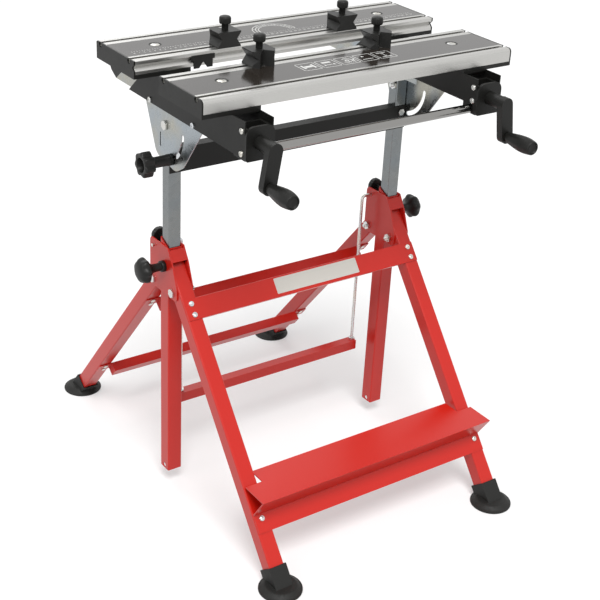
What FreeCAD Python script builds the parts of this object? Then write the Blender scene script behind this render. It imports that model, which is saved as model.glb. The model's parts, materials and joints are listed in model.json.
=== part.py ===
import FreeCAD, Part
import Sketcher
import math
import os

# Folding clamping workbench: a tilting table with two clamping jaws on a height-adjustable mast,
# a red base frame with fixed front legs, folding rear legs and a hanging spreader bar.
# Frame: origin on the floor under the two columns, X to the right, Y to the back, Z up, millimetres.

sizes = {
    # table and jaws
    "work_height": 864,
    "jaw_length": 645,
    "jaw_depth": 137,
    "jaw_height": 24,
    "jaw_gap": 84,
    "front_reach": 221,
    "jaw_wall": 2.5,
    "jaw_edge_radius": 7,
    "cap_thickness": 3,
    "cap_notch": 5,
    "cap_notch_drop": 3.5,
    "shoe_height": 7,
    "slot_opening": 8,
    "slot_width": 14,
    "slot_lip": 2.5,
    "slot_depth": 10,
    "front_slot_inset": 18,
    "back_slot_inset": 15,
    "inlay_margin": 28,
    "inlay_width": 78,
    "inlay_thickness": 1.5,
    "groove_height": 12,
    "groove_depth": 6,
    "jaw_screw_offset": 2.3,
    "jaw_screw_inset": 73,
    "jaw_screw_radius": 3,
    "jaw_screw_head": 8.3,
    "jaw_screw_cup": 11.5,
    # beams, slides and spindles
    "jaw_overhang": 82.5,
    "beam_width": 54,
    "beam_wall": 2,
    "beam_height": 61.8,
    "beam_inner_height": 47.8,
    "beam_front": 259,
    "beam_web_front": 222,
    "beam_tail": 125,
    "beam_tail_rise": 69,
    "beam_slot_front": 30,
    "beam_slot_width": 30,
    "slide_offset": 1.25,
    "slide_width": 43.5,
    "slide_wall": 2,
    "slide_height": 55.5,
    "slide_top_gap": 2.3,
    "slide_front": 90,
    "slide_tail": 187,
    "slide_tail_rise": 69,
    "plug_insert": 18,
    "plug_nose": 22,
    "neck_width": 26,
    "neck_front": 60,
    "neck_back": 130,
    "spindle_offset": 1,
    "spindle_drop": 35.8,
    "spindle_radius": 6,
    "spindle_end": 76,
    "nut_length": 14,
    "nut_place": 28,
    "nut_height": 28,
    "housing_flange": 5,
    "housing_body": 34,
    "housing_drop": 4,
    "housing_height": 57,
    "housing_rise": 53,
    "housing_pocket": 14,
    "side_screw_inset": 8,
    "side_screw_top": 16.8,
    "side_screw_low": 7,
    "housing_radius": 15,
    "housing_corner": 5,
    "rail_radius": 8,
    "rail_place": 245,
    "rail_drop": 56.8,
    "crank_hub_radius": 12,
    "crank_hub_length": 32,
    "crank_arm": 60,
    "crank_arm_width": 26,
    "crank_arm_thickness": 14,
    "crank_lean": 9,
    "grip_length": 65,
    "grip_radius": 15,
    "grip_neck": 10,
    "grip_end": 11.4,
    "grip_pin": 3.5,
    # bench dogs
    "dog_width": 46,
    "dog_flat": 17,
    "dog_shoulder": 14,
    "dog_lip": 26,
    "dog_lip_spread": 14,
    "dog_groove": 12,
    "dog_height": 27.5,
    "dog_notch": 11.5,
    "dog_notch_depth": 8,
    "dog_knob_radius": 10.5,
    "dog_knob_height": 14.5,
    "dog_neck_radius": 6,
    "dog_neck_height": 10,
    "dog_bolt_radius": 3,
    "dog_nut_length": 24,
    "dog_nut_height": 5,
    "front_dog_left": 140,
    "front_dog_right": 107,
    "rear_dog_left": 135,
    "rear_dog_right": 117,
    "clip_inset": 130.5,
    "clip_length": 46,
    "clip_stand": 1.4,
    "clip_drop": 5,
    "clip_wing": 8.5,
    "clip_height": 23,
    "clip_notch": 11.5,
    "clip_leg_inset": 4,
    "clip_leg_foot": 8,
    # mast
    "column_offset": 10,
    "column_width": 25,
    "column_wall": 2,
    "column_bottom": 230,
    "column_rise": 20,
    "pivot_drop": 26,
    "pivot_forward": 4,
    "pivot_radius": 5,
    "channel_height": 45,
    "channel_drop": 42,
    "channel_wall": 2,
    "channel_flange": 20,
    "lug_reach": 21.5,
    "lug_height": 28,
    "tab_bolt_drop": 54,
    "tab_bolt_radius": 3,
    # tilt plates
    "plate_thickness": 2.2,
    "plate_lap": 14,
    "plate_back": 71,
    "plate_front": 127,
    "plate_bottom": 74,
    "plate_radius": 22,
    "plate_lead": 5,
    "arc_radius": 59.5,
    "arc_width": 8.5,
    "bolt_angle": 109.65,
    "tilt_travel": 65,
    "arc_margin": 2.5,
    "slit_place": 17,
    "slit_width": 4,
    "slit_top": 19,
    "slit_length": 23,
    "rivet_back": 47,
    "rivet_front": 100,
    "rivet_radius": 2.5,
    "rivet_head": 5,
    "knob_bolt_radius": 4,
    "knob_neck_radius": 8.5,
    "knob_neck_length": 39.7,
    "star_radius": 23,
    "star_thickness": 20,
    "star_notch": 5,
    # base tubes and brackets
    "tube_width": 30,
    "tube_wall": 2,
    "tube_corner": 2.5,
    "tube_bottom": 29.5,
    "tube_back_rise": 93,
    "tube_front_rise": 79,
    "tube_hole_height": 36,
    "tube_hole_radius": 5,
    "bracket_height": 433,
    "bracket_sheet": 2.5,
    "bracket_top": 83,
    "bracket_back": 49,
    "bracket_bottom": 13,
    "bracket_front": 50,
    "bracket_radius": 9,
    "band_top": 16,
    "band_back": 33,
    "band_bottom": 56,
    "rear_pivot_back": 38,
    "leg_bolt_forward": 33,
    "leg_bolt_radius": 5,
    # legs, panel, step, feet
    "leg_width": 30,
    "leg_wall": 2,
    "leg_forward": 43,
    "front_leg_angle": 39,
    "rear_leg_angle": 39.6,
    "leg_end_height": 31,
    "rear_leg_top": 14,
    "foot_radius": 40,
    "foot_edge": 3,
    "foot_dome": 12,
    "foot_shoulder": 27,
    "sleeve_wall": 3,
    "sleeve_length": 44,
    "panel_overhang": 14,
    "panel_height": 39,
    "panel_drop": 35.4,
    "panel_sheet": 2,
    "panel_flange": 8,
    "panel_screw_spread": 20.8,
    "screw_radius": 2.5,
    "screw_head": 5,
    "screw_dome": 2.4,
    "step_height": 162,
    "step_reach": 68.2,
    "step_insert": 25.8,
    "step_inset": 21,
    "step_overhang": 14,
    "step_sheet": 2,
    "step_bend_drop": 45,
    "step_drop": 71,
    "step_bolt_drop": 62,
    # rear bars
    "bar_height": 25,
    "bar_depth": 20,
    "bar_sheet": 2,
    "upper_bar_drop": 68,
    "lower_bar_rise": 124.7,
    "bar_screw_spread": 14,
    # spreader bar on its two rods
    "rod_inset": 40,
    "rod_back": 34,
    "rod_rise": 70,
    "rod_radius": 3.2,
    "rod_bend": 7,
    "rod_end": 4.5,
    "spreader_top": 172,
    "spreader_width": 20,
    "spreader_sheet": 2,
    "spreader_overhang": 5,
    # knobs on the base
    "height_knob_rise": 43,
    "height_knob_radius": 25,
    "height_knob_thickness": 25,
    "height_knob_neck": 30,
    "height_knob_collar": 10,
    "height_screw_radius": 5,
    "rear_knob_rise": 82,
    "rear_knob_radius": 15,
    "rear_knob_thickness": 12,
    "rear_knob_neck": 25,
    "rear_screw_radius": 4,
    # fits and allowances
    "shoe_gap": 0.2,
    "running_fit": 0.08,
    "bolt_fit": 0.05,
    "side_gap": 0.3,
    "overrun": 2,
    "bolt_head": 4,
    "bolt_nut": 5,
    "bolt_head_step": 4,
    "edge": 1,
}

doc = FreeCAD.newDocument("workbench")
sheet = doc.addObject("Spreadsheet::Sheet", "Sizes")
for row, (name, number) in enumerate(sizes.items(), start=1):
    sheet.set("A%d" % row, name)
    sheet.set("B%d" % row, str(number))
    sheet.setAlias("B%d" % row, name)
doc.recompute()


class Size:
    """A length, its value and the formula over the sheet's cells that gives it."""

    def __init__(self, value, formula):
        self.value = value
        self.formula = formula

    def join(self, other, sign, value):
        return Size(value, "(%s %s %s)" % (self.formula, sign, formula_of(other)))

    def __add__(self, other):
        return self.join(other, "+", self.value + value_of(other))

    def __sub__(self, other):
        return self.join(other, "-", self.value - value_of(other))

    def __mul__(self, other):
        return self.join(other, "*", self.value * value_of(other))

    def __truediv__(self, other):
        return self.join(other, "/", self.value / value_of(other))

    def __neg__(self):
        return Size(-self.value, "(0 - %s)" % self.formula)


def value_of(size):
    return size.value if isinstance(size, Size) else size


def formula_of(size):
    return size.formula if isinstance(size, Size) else repr(size)


def cosine(angle):
    return Size(math.cos(math.radians(angle.value)), "cos(%s)" % angle.formula)


def sine(angle):
    return Size(math.sin(math.radians(angle.value)), "sin(%s)" % angle.formula)


class Cells:
    """Each named cell of the sheet as a Size."""

    def __init__(self):
        for name in sizes:
            setattr(self, name, Size(float(sheet.get(name)), "Sizes." + name))


s = Cells()
zero = Size(0.0, "0")
head_share = 0.8
front_corner_shares = (0.52, 0.775)
low_corner_share = 0.315
back_corner_shares = (0.40, 0.83)
nose_share = 0.6
waist_share = 0.33
barrel_share = 0.55
shoulder_share = 0.78
star_points = 7
knob_points = 8


def bind(item, prop, size):
    item.setExpression(prop, formula_of(size))


# Sketch loops: each returns a function that draws itself in a sketch

def hold(sketch, geometry, point, u, v):
    """Fixes a point of the sketch at two sizes from its origin."""
    for kind, size in (("DistanceX", u), ("DistanceY", v)):
        number = sketch.addConstraint(Sketcher.Constraint(kind, -1, 1, geometry, point, value_of(size)))
        bind(sketch, "Constraints[%d]" % number, size)


def radius_is(sketch, geometry, size):
    number = sketch.addConstraint(Sketcher.Constraint("Radius", geometry, value_of(size)))
    bind(sketch, "Constraints[%d]" % number, size)


def outline(*corners):
    """A closed outline through corners (u, v), or (u, v, radius) where the corner is round."""
    def draw(sketch):
        spots = [FreeCAD.Vector(value_of(c[0]), value_of(c[1]), 0) for c in corners]
        count = len(corners)
        arcs, starts, ends = {}, list(spots), list(spots)
        for i, corner in enumerate(corners):
            if len(corner) == 2:
                continue
            before = (spots[i - 1] - spots[i]).normalize()
            after = (spots[(i + 1) % count] - spots[i]).normalize()
            half = before.getAngle(after) / 2
            radius = value_of(corner[2])
            reach = radius / math.tan(half)
            centre = spots[i] + (before + after).normalize() * (radius / math.sin(half))
            ends[i] = spots[i] + before * reach
            starts[i] = spots[i] + after * reach
            turns_left = before.cross(after).z < 0
            first, last = (ends[i], starts[i]) if turns_left else (starts[i], ends[i])
            angles = [math.atan2(p.y - centre.y, p.x - centre.x) for p in (first, last)]
            circle = Part.Circle(centre, FreeCAD.Vector(0, 0, 1), radius)
            arcs[i] = (circle, angles, turns_left)
        lines = [sketch.addGeometry(Part.LineSegment(starts[i], ends[(i + 1) % count]), False)
                 for i in range(count)]
        for i, corner in enumerate(corners):
            if i not in arcs:
                sketch.addConstraint(Sketcher.Constraint("Coincident", lines[i - 1], 2, lines[i], 1))
                hold(sketch, lines[i], 1, corner[0], corner[1])
                continue
            circle, angles, turns_left = arcs[i]
            arc = sketch.addGeometry(Part.ArcOfCircle(circle, angles[0], angles[1]), False)
            near, far = (1, 2) if turns_left else (2, 1)
            sketch.addConstraint(Sketcher.Constraint("Tangent", lines[i - 1], 2, arc, near))
            sketch.addConstraint(Sketcher.Constraint("Tangent", arc, far, lines[i], 1))
            radius_is(sketch, arc, corner[2])
            point = sketch.addGeometry(Part.Point(spots[i]), True)
            sketch.addConstraint(Sketcher.Constraint("PointOnObject", point, 1, lines[i - 1]))
            sketch.addConstraint(Sketcher.Constraint("PointOnObject", point, 1, lines[i]))
            hold(sketch, point, 1, corner[0], corner[1])
    return draw


def block(u0, v0, u1, v1):
    return outline((u0, v0), (u1, v0), (u1, v1), (u0, v1))


def ring(u, v, radius):
    def draw(sketch):
        centre = FreeCAD.Vector(value_of(u), value_of(v), 0)
        circle = sketch.addGeometry(Part.Circle(centre, FreeCAD.Vector(0, 0, 1), value_of(radius)), False)
        hold(sketch, circle, 3, u, v)
        radius_is(sketch, circle, radius)
    return draw


def joined_arcs(sketch, arcs):
    """Adds arcs (centre, radius, first angle, last angle) that run on into each other."""
    return [sketch.addGeometry(Part.ArcOfCircle(Part.Circle(centre, FreeCAD.Vector(0, 0, 1), radius),
                                                first, last), False)
            for centre, radius, first, last in arcs]


def long_hole(u0, v0, u1, v1, radius):
    """A straight slot with round ends about two centres."""
    def draw(sketch):
        a = FreeCAD.Vector(value_of(u0), value_of(v0), 0)
        b = FreeCAD.Vector(value_of(u1), value_of(v1), 0)
        along = (b - a).normalize()
        side = FreeCAD.Vector(-along.y, along.x, 0) * value_of(radius)
        turn = math.atan2(along.y, along.x)
        quarter = math.pi / 2
        first, last = joined_arcs(sketch, [(a, value_of(radius), turn + quarter, turn - quarter),
                                           (b, value_of(radius), turn - quarter, turn + quarter)])
        lower = sketch.addGeometry(Part.LineSegment(a - side, b - side), False)
        upper = sketch.addGeometry(Part.LineSegment(b + side, a + side), False)
        for one, p, two, q in ((first, 2, lower, 1), (lower, 2, last, 1), (last, 2, upper, 1), (upper, 2, first, 1)):
            sketch.addConstraint(Sketcher.Constraint("Tangent", one, p, two, q))
        hold(sketch, first, 3, u0, v0)
        hold(sketch, last, 3, u1, v1)
        radius_is(sketch, first, radius)
        radius_is(sketch, last, radius)
    return draw


def arc_slot(u, v, radius, first, last, half):
    """A curved slot about a centre between two angles below the U axis, with round ends."""
    def draw(sketch):
        centre = FreeCAD.Vector(value_of(u), value_of(v), 0)
        r, w = value_of(radius), value_of(half)
        low, high = -math.radians(value_of(last)), -math.radians(value_of(first))
        ends = [centre + FreeCAD.Vector(math.cos(a), math.sin(a), 0) * r for a in (low, high)]
        outer, inner, near, far = joined_arcs(sketch, [
            (centre, r + w, low, high), (centre, r - w, low, high),
            (ends[0], w, low - math.pi, low), (ends[1], w, high, high + math.pi)])
        for one, p, two, q in ((outer, 1, near, 2), (near, 1, inner, 1), (inner, 2, far, 2), (far, 1, outer, 2)):
            sketch.addConstraint(Sketcher.Constraint("Tangent", one, p, two, q))
        hold(sketch, outer, 3, u, v)
        sketch.addConstraint(Sketcher.Constraint("Coincident", inner, 3, outer, 3))
        radius_is(sketch, outer, radius + half)
        radius_is(sketch, inner, radius - half)
        for arc, angle, kind, size in ((near, last, "DistanceY", v - radius * sine(last)),
                                       (far, first, "DistanceX", u + radius * cosine(first))):
            number = sketch.addConstraint(Sketcher.Constraint(kind, -1, 1, arc, 3, value_of(size)))
            bind(sketch, "Constraints[%d]" % number, size)
    return draw


# Solid features on PartDesign bodies

plane_roles = {"x": "YZ_Plane", "y": "XZ_Plane", "z": "XY_Plane"}


def body(label):
    piece = doc.addObject("PartDesign::Body", label)
    piece.Label = label
    return piece


def sketch_on(piece, across, place, loops):
    """A sketch square to one axis at a place along it, holding the given loops."""
    sketch = piece.newObject("Sketcher::SketchObject", piece.Label + "_sketch")
    plane = [item for item in piece.Origin.OriginFeatures if item.Role == plane_roles[across]][0]
    sketch.AttachmentSupport = [(plane, "")]
    sketch.MapMode = "FlatFace"
    bind(sketch, "AttachmentOffset.Base.z", place)
    for draw in loops:
        draw(sketch)
    return sketch


def span(across, start, end):
    """Where the sketch lies and how far the feature runs: the XZ plane faces the front."""
    return (-end if across == "y" else start), end - start


def add(piece, across, start, end, *loops):
    place, length = span(across, start, end)
    pad = piece.newObject("PartDesign::Pad", piece.Label + "_pad")
    pad.Profile = sketch_on(piece, across, place, loops)
    bind(pad, "Length", length)
    return pad


def cut(piece, across, start, end, *loops):
    place, length = span(across, start, end)
    pocket = piece.newObject("PartDesign::Pocket", piece.Label + "_cut")
    pocket.Profile = sketch_on(piece, across, place, loops)
    bind(pocket, "Length", length)
    pocket.Reversed = True
    return pocket


def turned(piece, *corners):
    """A solid of revolution about the body's own Z axis from (radius, height) corners."""
    solid = piece.newObject("PartDesign::Revolution", piece.Label + "_turned")
    sketch = sketch_on(piece, "y", zero, [outline(*corners)])
    solid.Profile = sketch
    solid.ReferenceAxis = (sketch, ["V_Axis"])
    solid.Angle = 360
    return solid


def scallops(piece, start, end, distance, radius, count):
    """Round notches cut all round the body's own Z axis."""
    first = cut(piece, "z", start, end, ring(distance, zero, radius))
    pattern = piece.newObject("PartDesign::PolarPattern", piece.Label + "_notches")
    pattern.Originals = [first]
    pattern.Axis = (first.Profile[0], ["N_Axis"])
    pattern.Angle = 360
    pattern.Occurrences = count
    piece.Tip = pattern
    return pattern


def place(item, x, y, z, axis=None, angle=None):
    for letter, size in (("x", x), ("y", y), ("z", z)):
        bind(item, "Placement.Base." + letter, size)
    if axis is not None:
        item.Placement.Rotation = FreeCAD.Rotation(axis, value_of(angle))
        if isinstance(angle, Size):
            bind(item, "Placement.Rotation.Angle", angle)
    return item


x_axis = FreeCAD.Vector(1, 0, 0)
y_axis = FreeCAD.Vector(0, 1, 0)
quarter_turn = 90
half_turn = 180
facing = {"+x": (y_axis, quarter_turn), "-x": (y_axis, -quarter_turn), "+y": (x_axis, -quarter_turn),
          "-y": (x_axis, quarter_turn), "+z": (None, None), "-z": (x_axis, half_turn)}


def mirrored(source, label):
    other = doc.addObject("Part::Mirroring", label)
    other.Label = label
    other.Source = source
    other.Normal = x_axis
    return other


def group(label, *items):
    whole = doc.addObject("Part::Compound", label)
    whole.Label = label
    whole.Links = list(items)
    return whole


def pair(label, right):
    """The piece and its mirror image on the left, in one node."""
    return group(label, right, mirrored(right, right.Label + "_other"))


def fastener(label, x, y, z, towards, *stages):
    """A stack of round and six-sided stages (kind, radius, from, to) along one direction."""
    steps = []
    for kind, radius, start, end in stages:
        step = doc.addObject("Part::Cylinder" if kind == "round" else "Part::Prism", label + "_" + kind)
        bind(step, "Radius" if kind == "round" else "Circumradius", radius)
        bind(step, "Height", end - start)
        bind(step, "Placement.Base.z", start)
        steps.append(step)
    if len(steps) == 1:
        whole = group(label, *steps)
    else:
        whole = doc.addObject("Part::MultiFuse", label)
        whole.Shapes = steps
    axis, angle = facing[towards]
    return place(whole, x, y, z, axis, angle)


# Shared places, worked out from the driving sizes

over = s.overrun
half_jaw = s.jaw_length / 2
jaw_end = half_jaw - s.cap_thickness
top = s.work_height
under = top - s.jaw_height
inlay_seat = top - s.inlay_thickness
shoe_bottom = under - s.shoe_height
beam_top = shoe_bottom - s.shoe_gap
beam_web = beam_top - s.beam_wall
beam_bottom = beam_top - s.beam_height
beam_inner_bottom = beam_top - s.beam_inner_height
beam_centre = half_jaw - s.jaw_overhang
spindle_x = beam_centre + s.spindle_offset
jaw_screw_x = beam_centre + s.jaw_screw_offset
slide_centre = beam_centre - s.slide_offset
beam_inner = beam_centre - s.beam_width / 2
beam_outer = beam_centre + s.beam_width / 2
hollow_inner = beam_inner + s.beam_wall
hollow_outer = beam_outer - s.beam_wall
front_jaw_front = -s.front_reach
front_jaw_back = front_jaw_front + s.jaw_depth
rear_jaw_front = front_jaw_back + s.jaw_gap
rear_jaw_back = rear_jaw_front + s.jaw_depth
spindle_z = beam_top - s.spindle_drop
slide_top = beam_web - s.slide_top_gap
slide_bottom = slide_top - s.slide_height
slide_inner = slide_centre - s.slide_width / 2
slide_outer = slide_centre + s.slide_width / 2
column_x = beam_centre + s.column_offset
rod_x = column_x - s.rod_inset
half_column = s.column_width / 2
pivot_y = -s.pivot_forward
pivot_z = beam_bottom - s.pivot_drop
column_top = pivot_z + s.column_rise
plate_inner = hollow_outer - s.plate_thickness
knob_y = pivot_y + s.arc_radius * cosine(s.bolt_angle)
knob_z = pivot_z - s.arc_radius * sine(s.bolt_angle)
half_tube = s.tube_width / 2
tube_back_top = s.bracket_height + s.tube_back_rise
tube_front_top = s.bracket_height + s.tube_front_rise
rod_height = s.bracket_height + s.rod_rise
height_knob_z = s.bracket_height + s.height_knob_rise
rear_knob_z = s.bracket_height + s.rear_knob_rise
half_leg = s.leg_width / 2
cheek_outer = column_x + half_tube
cheek_inner = column_x - half_tube
housing_front = -s.beam_front - s.housing_flange
housing_back = -s.beam_front + s.housing_body
housing_bottom = beam_bottom - s.housing_drop
crank_back = housing_front - s.side_gap
side_screw_y = -s.beam_front + s.side_screw_inset
outer_screws = [(side_screw_y, beam_top - s.side_screw_top), (side_screw_y, beam_bottom + s.side_screw_low)]
inner_screws = [(side_screw_y, beam_top - s.side_screw_top), (side_screw_y, beam_inner_bottom + s.side_screw_low)]
rivet_z = beam_bottom + s.rivet_head
rivet_spots = [(s.rivet_back, rivet_z), (-s.rivet_front, rivet_z)]
screw_hole = s.screw_radius + s.bolt_fit


# Table: beams, housings, front rail, front jaw and tilt plates

def beam():
    """Inverted channel with a deep outer wall, a slanted tail and a slot for the carriage's neck."""
    piece = body("beam_right")
    add(piece, "x", beam_inner, beam_outer,
        outline((-s.beam_front, beam_bottom), (s.beam_tail, beam_bottom),
                (s.beam_tail - s.beam_tail_rise, beam_top), (-s.beam_front, beam_top)))
    front, back = -s.beam_front - over, s.beam_tail + over
    cut(piece, "x", hollow_inner, hollow_outer, block(front, beam_bottom - over, back, beam_web))
    cut(piece, "x", beam_inner - over, hollow_inner + s.edge,
        block(front, beam_bottom - over, back, beam_inner_bottom))
    cut(piece, "x", hollow_inner, hollow_outer, block(front, beam_web - over, -s.beam_web_front, beam_top + over))
    half_slot = s.beam_slot_width / 2
    cut(piece, "z", beam_web - over, beam_top + over,
        block(spindle_x - half_slot, -s.beam_slot_front, spindle_x + half_slot, back),
        ring(jaw_screw_x, front_jaw_front + s.jaw_screw_inset, s.jaw_screw_radius + s.bolt_fit))
    cut(piece, "x", hollow_outer - over, beam_outer + over, *[ring(y, z, screw_hole) for y, z in outer_screws],
        *[ring(y, z, s.rivet_radius + s.bolt_fit) for y, z in rivet_spots])
    cut(piece, "x", beam_inner - over, hollow_inner + over, *[ring(y, z, screw_hole) for y, z in inner_screws])
    return piece


def housings():
    """Moulded end of each beam: it carries the spindle, and its top is an open pocket."""
    piece = body("housing_right")
    crown = housing_bottom + s.housing_height
    rise = housing_bottom + s.housing_rise
    add(piece, "y", housing_front, -s.beam_front,
        outline((beam_inner, housing_bottom, s.housing_corner), (beam_outer, housing_bottom, s.housing_corner),
                (beam_outer, crown, s.housing_radius), (beam_inner, crown, s.housing_radius)))
    add(piece, "y", -s.beam_front, housing_back, block(hollow_inner, housing_bottom, hollow_outer, rise))
    wall = s.housing_flange
    cut(piece, "z", rise - s.housing_pocket, crown + over,
        block(hollow_inner + wall, -s.beam_front + s.edge, hollow_outer - wall, housing_back - wall))
    cut(piece, "y", housing_front - over, housing_back + over,
        ring(spindle_x, spindle_z, s.spindle_radius + s.running_fit))
    cut(piece, "x", hollow_outer - wall, hollow_outer + over, *[ring(y, z, screw_hole) for y, z in outer_screws])
    cut(piece, "x", hollow_inner - over, hollow_inner + wall, *[ring(y, z, screw_hole) for y, z in inner_screws])
    return pair("housings", piece)


def housing_screws():
    screws = []
    depth = s.beam_wall + s.housing_flange - s.edge
    stages = [("round", s.screw_radius, -depth, s.edge), ("round", s.screw_head, zero, s.screw_dome)]
    for number, (y, z) in enumerate(outer_screws):
        screws.append(fastener("outer_screw%d" % number, beam_outer, y, z, "+x", *stages))
    for number, (y, z) in enumerate(inner_screws):
        screws.append(fastener("inner_screw%d" % number, beam_inner, y, z, "-x", *stages))
    return pair("housing_screws", group("housing_screws_right", *screws))


def front_rail():
    piece = body("front_rail")
    add(piece, "x", -hollow_inner, hollow_inner, ring(-s.rail_place, beam_top - s.rail_drop, s.rail_radius))
    return piece


def slot_shape(centre):
    """Outline of a T-slot: a narrow mouth over a wider undercut."""
    mouth, wide = s.slot_opening / 2, s.slot_width / 2
    lip, floor = top - s.slot_lip, top - s.slot_depth
    return outline((centre - mouth, top + over), (centre - mouth, lip), (centre - wide, lip),
                   (centre - wide, floor), (centre + wide, floor), (centre + wide, lip),
                   (centre + mouth, lip), (centre + mouth, top + over))


def jaw_outline(front, back, clamps_at_front):
    """Side outline of a jaw, with the pipe groove in the edge that clamps."""
    middle = top - s.jaw_height / 2
    half = s.groove_height / 2
    if clamps_at_front:
        return outline((front, top, s.edge), (front, middle + half), (front + s.groove_depth, middle),
                       (front, middle - half), (front, under, s.edge), (back, under, s.edge),
                       (back, top, s.jaw_wall))
    return outline((front, top, s.jaw_edge_radius), (front, under, s.edge), (back, under, s.edge),
                   (back, middle - half), (back - s.groove_depth, middle), (back, middle + half),
                   (back, top, s.edge))


def jaw(label, front, back, clamps_at_front):
    """Aluminium extrusion with two T-slots, a seat for the inlay and three closed chambers."""
    piece = body(label)
    add(piece, "x", -jaw_end, jaw_end, jaw_outline(front, back, clamps_at_front))
    wall = s.jaw_wall
    first, last = front + s.front_slot_inset, back - s.back_slot_inset
    inlay_front = front + s.inlay_margin
    inlay_back = inlay_front + s.inlay_width
    roof = top - s.slot_depth - wall
    ends = (-jaw_end - over, jaw_end + over)
    cut(piece, "x", *ends, slot_shape(first), slot_shape(last), block(inlay_front, inlay_seat, inlay_back, top + over))
    cut(piece, "x", *ends, block(inlay_front + wall, under + wall, inlay_back - wall, inlay_seat - wall),
        block(front + s.groove_depth + wall, under + wall, first + s.slot_width / 2, roof),
        block(last - s.slot_width / 2, under + wall, back - s.groove_depth - wall, roof))
    y = front + s.jaw_screw_inset
    hole = s.jaw_screw_radius + s.bolt_fit
    cut(piece, "z", under - over, top + over, ring(jaw_screw_x, y, hole), ring(-jaw_screw_x, y, hole))
    return piece


def inlay(label, front):
    piece = body(label)
    start = front + s.inlay_margin
    y = front + s.jaw_screw_inset
    add(piece, "z", inlay_seat, top, block(-jaw_end, start, jaw_end, start + s.inlay_width),
        ring(jaw_screw_x, y, s.jaw_screw_cup), ring(-jaw_screw_x, y, s.jaw_screw_cup))
    return piece


def caps(label, front, back, clamps_at_front):
    """Each end cap is one moulding with the shoe under the jaw."""
    piece = body(label + "_right")
    add(piece, "x", jaw_end, half_jaw, jaw_outline(front, back, clamps_at_front))
    add(piece, "z", shoe_bottom, under, block(beam_inner, front, half_jaw, back))
    cut(piece, "z", shoe_bottom - over, under + over,
        ring(jaw_screw_x, front + s.jaw_screw_inset, s.jaw_screw_radius + s.bolt_fit))
    notch_z = top - s.cap_notch_drop
    cut(piece, "x", jaw_end - over, half_jaw + over, ring(front + s.front_slot_inset, notch_z, s.cap_notch),
        ring(back - s.back_slot_inset, notch_z, s.cap_notch))
    return pair(label, piece)


def jaw_screws(label, front, bottom, *nut):
    """A long bolt at each end of a jaw, through its shoe and what it stands on."""
    right = fastener(label + "_right", jaw_screw_x, front + s.jaw_screw_inset, inlay_seat, "+z",
                     ("round", s.jaw_screw_radius, bottom - inlay_seat, s.edge / 2),
                     ("round", s.jaw_screw_head, zero, s.inlay_thickness * head_share), *nut)
    return pair(label, right)


def tilt_plate():
    """Plate inside the beam's outer wall, with the arc slot that the tilt knob's bolt follows."""
    piece = body("tilt_plate_right")
    low = pivot_z - s.plate_bottom
    upper = beam_bottom + s.plate_lap
    add(piece, "x", plate_inner, hollow_outer,
        outline((-s.plate_front, upper), (-s.plate_front, beam_bottom),
                (-s.plate_front * front_corner_shares[0], pivot_z - s.plate_bottom * front_corner_shares[1],
                 s.plate_radius),
                (-s.plate_front * low_corner_share, low, s.plate_radius),
                (s.plate_back * back_corner_shares[0], pivot_z - s.plate_bottom * back_corner_shares[1],
                 s.plate_radius),
                (s.plate_back - s.plate_lead, beam_bottom), (s.plate_back, upper)))
    first = s.bolt_angle - s.arc_margin
    last = s.bolt_angle + s.tilt_travel + s.arc_margin
    slit_y = pivot_y + s.slit_place
    ends = (plate_inner - over, hollow_outer + over)
    cut(piece, "x", *ends, arc_slot(pivot_y, pivot_z, s.arc_radius, first, last, s.arc_width / 2))
    cut(piece, "x", *ends, ring(pivot_y, pivot_z, s.pivot_radius + s.running_fit),
        long_hole(slit_y, pivot_z - s.slit_top - s.slit_length, slit_y, pivot_z - s.slit_top, s.slit_width / 2),
        *[ring(y, z, s.rivet_radius + s.bolt_fit) for y, z in rivet_spots])
    return piece


def plate_rivets():
    depth = s.beam_wall + s.plate_thickness
    rivets = [fastener("rivet%d" % number, beam_outer, y, z, "+x",
                       ("round", s.rivet_radius, -depth - s.edge / 2, s.edge / 2),
                       ("round", s.rivet_head, zero, s.screw_dome),
                       ("round", s.rivet_head - s.edge, -depth - s.edge, -depth))
              for number, (y, z) in enumerate(rivet_spots)]
    return pair("plate_rivets", group("plate_rivets_right", *rivets))


# Carriage: slides in the beams, their plugs, the rear jaw and the spindle nuts

def slides():
    piece = body("slide_right")
    tail_top = s.slide_tail - s.slide_tail_rise
    add(piece, "x", slide_inner, slide_outer,
        outline((-s.slide_front, slide_bottom), (s.slide_tail, slide_bottom), (tail_top, slide_top),
                (-s.slide_front, slide_top)))
    wall = s.slide_wall
    cut(piece, "x", slide_inner + wall, slide_outer - wall,
        block(-s.slide_front - over, slide_bottom - over, s.slide_tail + over, slide_top - wall))
    cut(piece, "z", slide_top - wall - over, slide_top + over,
        ring(jaw_screw_x, rear_jaw_front + s.jaw_screw_inset, s.jaw_screw_radius + s.bolt_fit))
    return pair("slides", piece)


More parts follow.
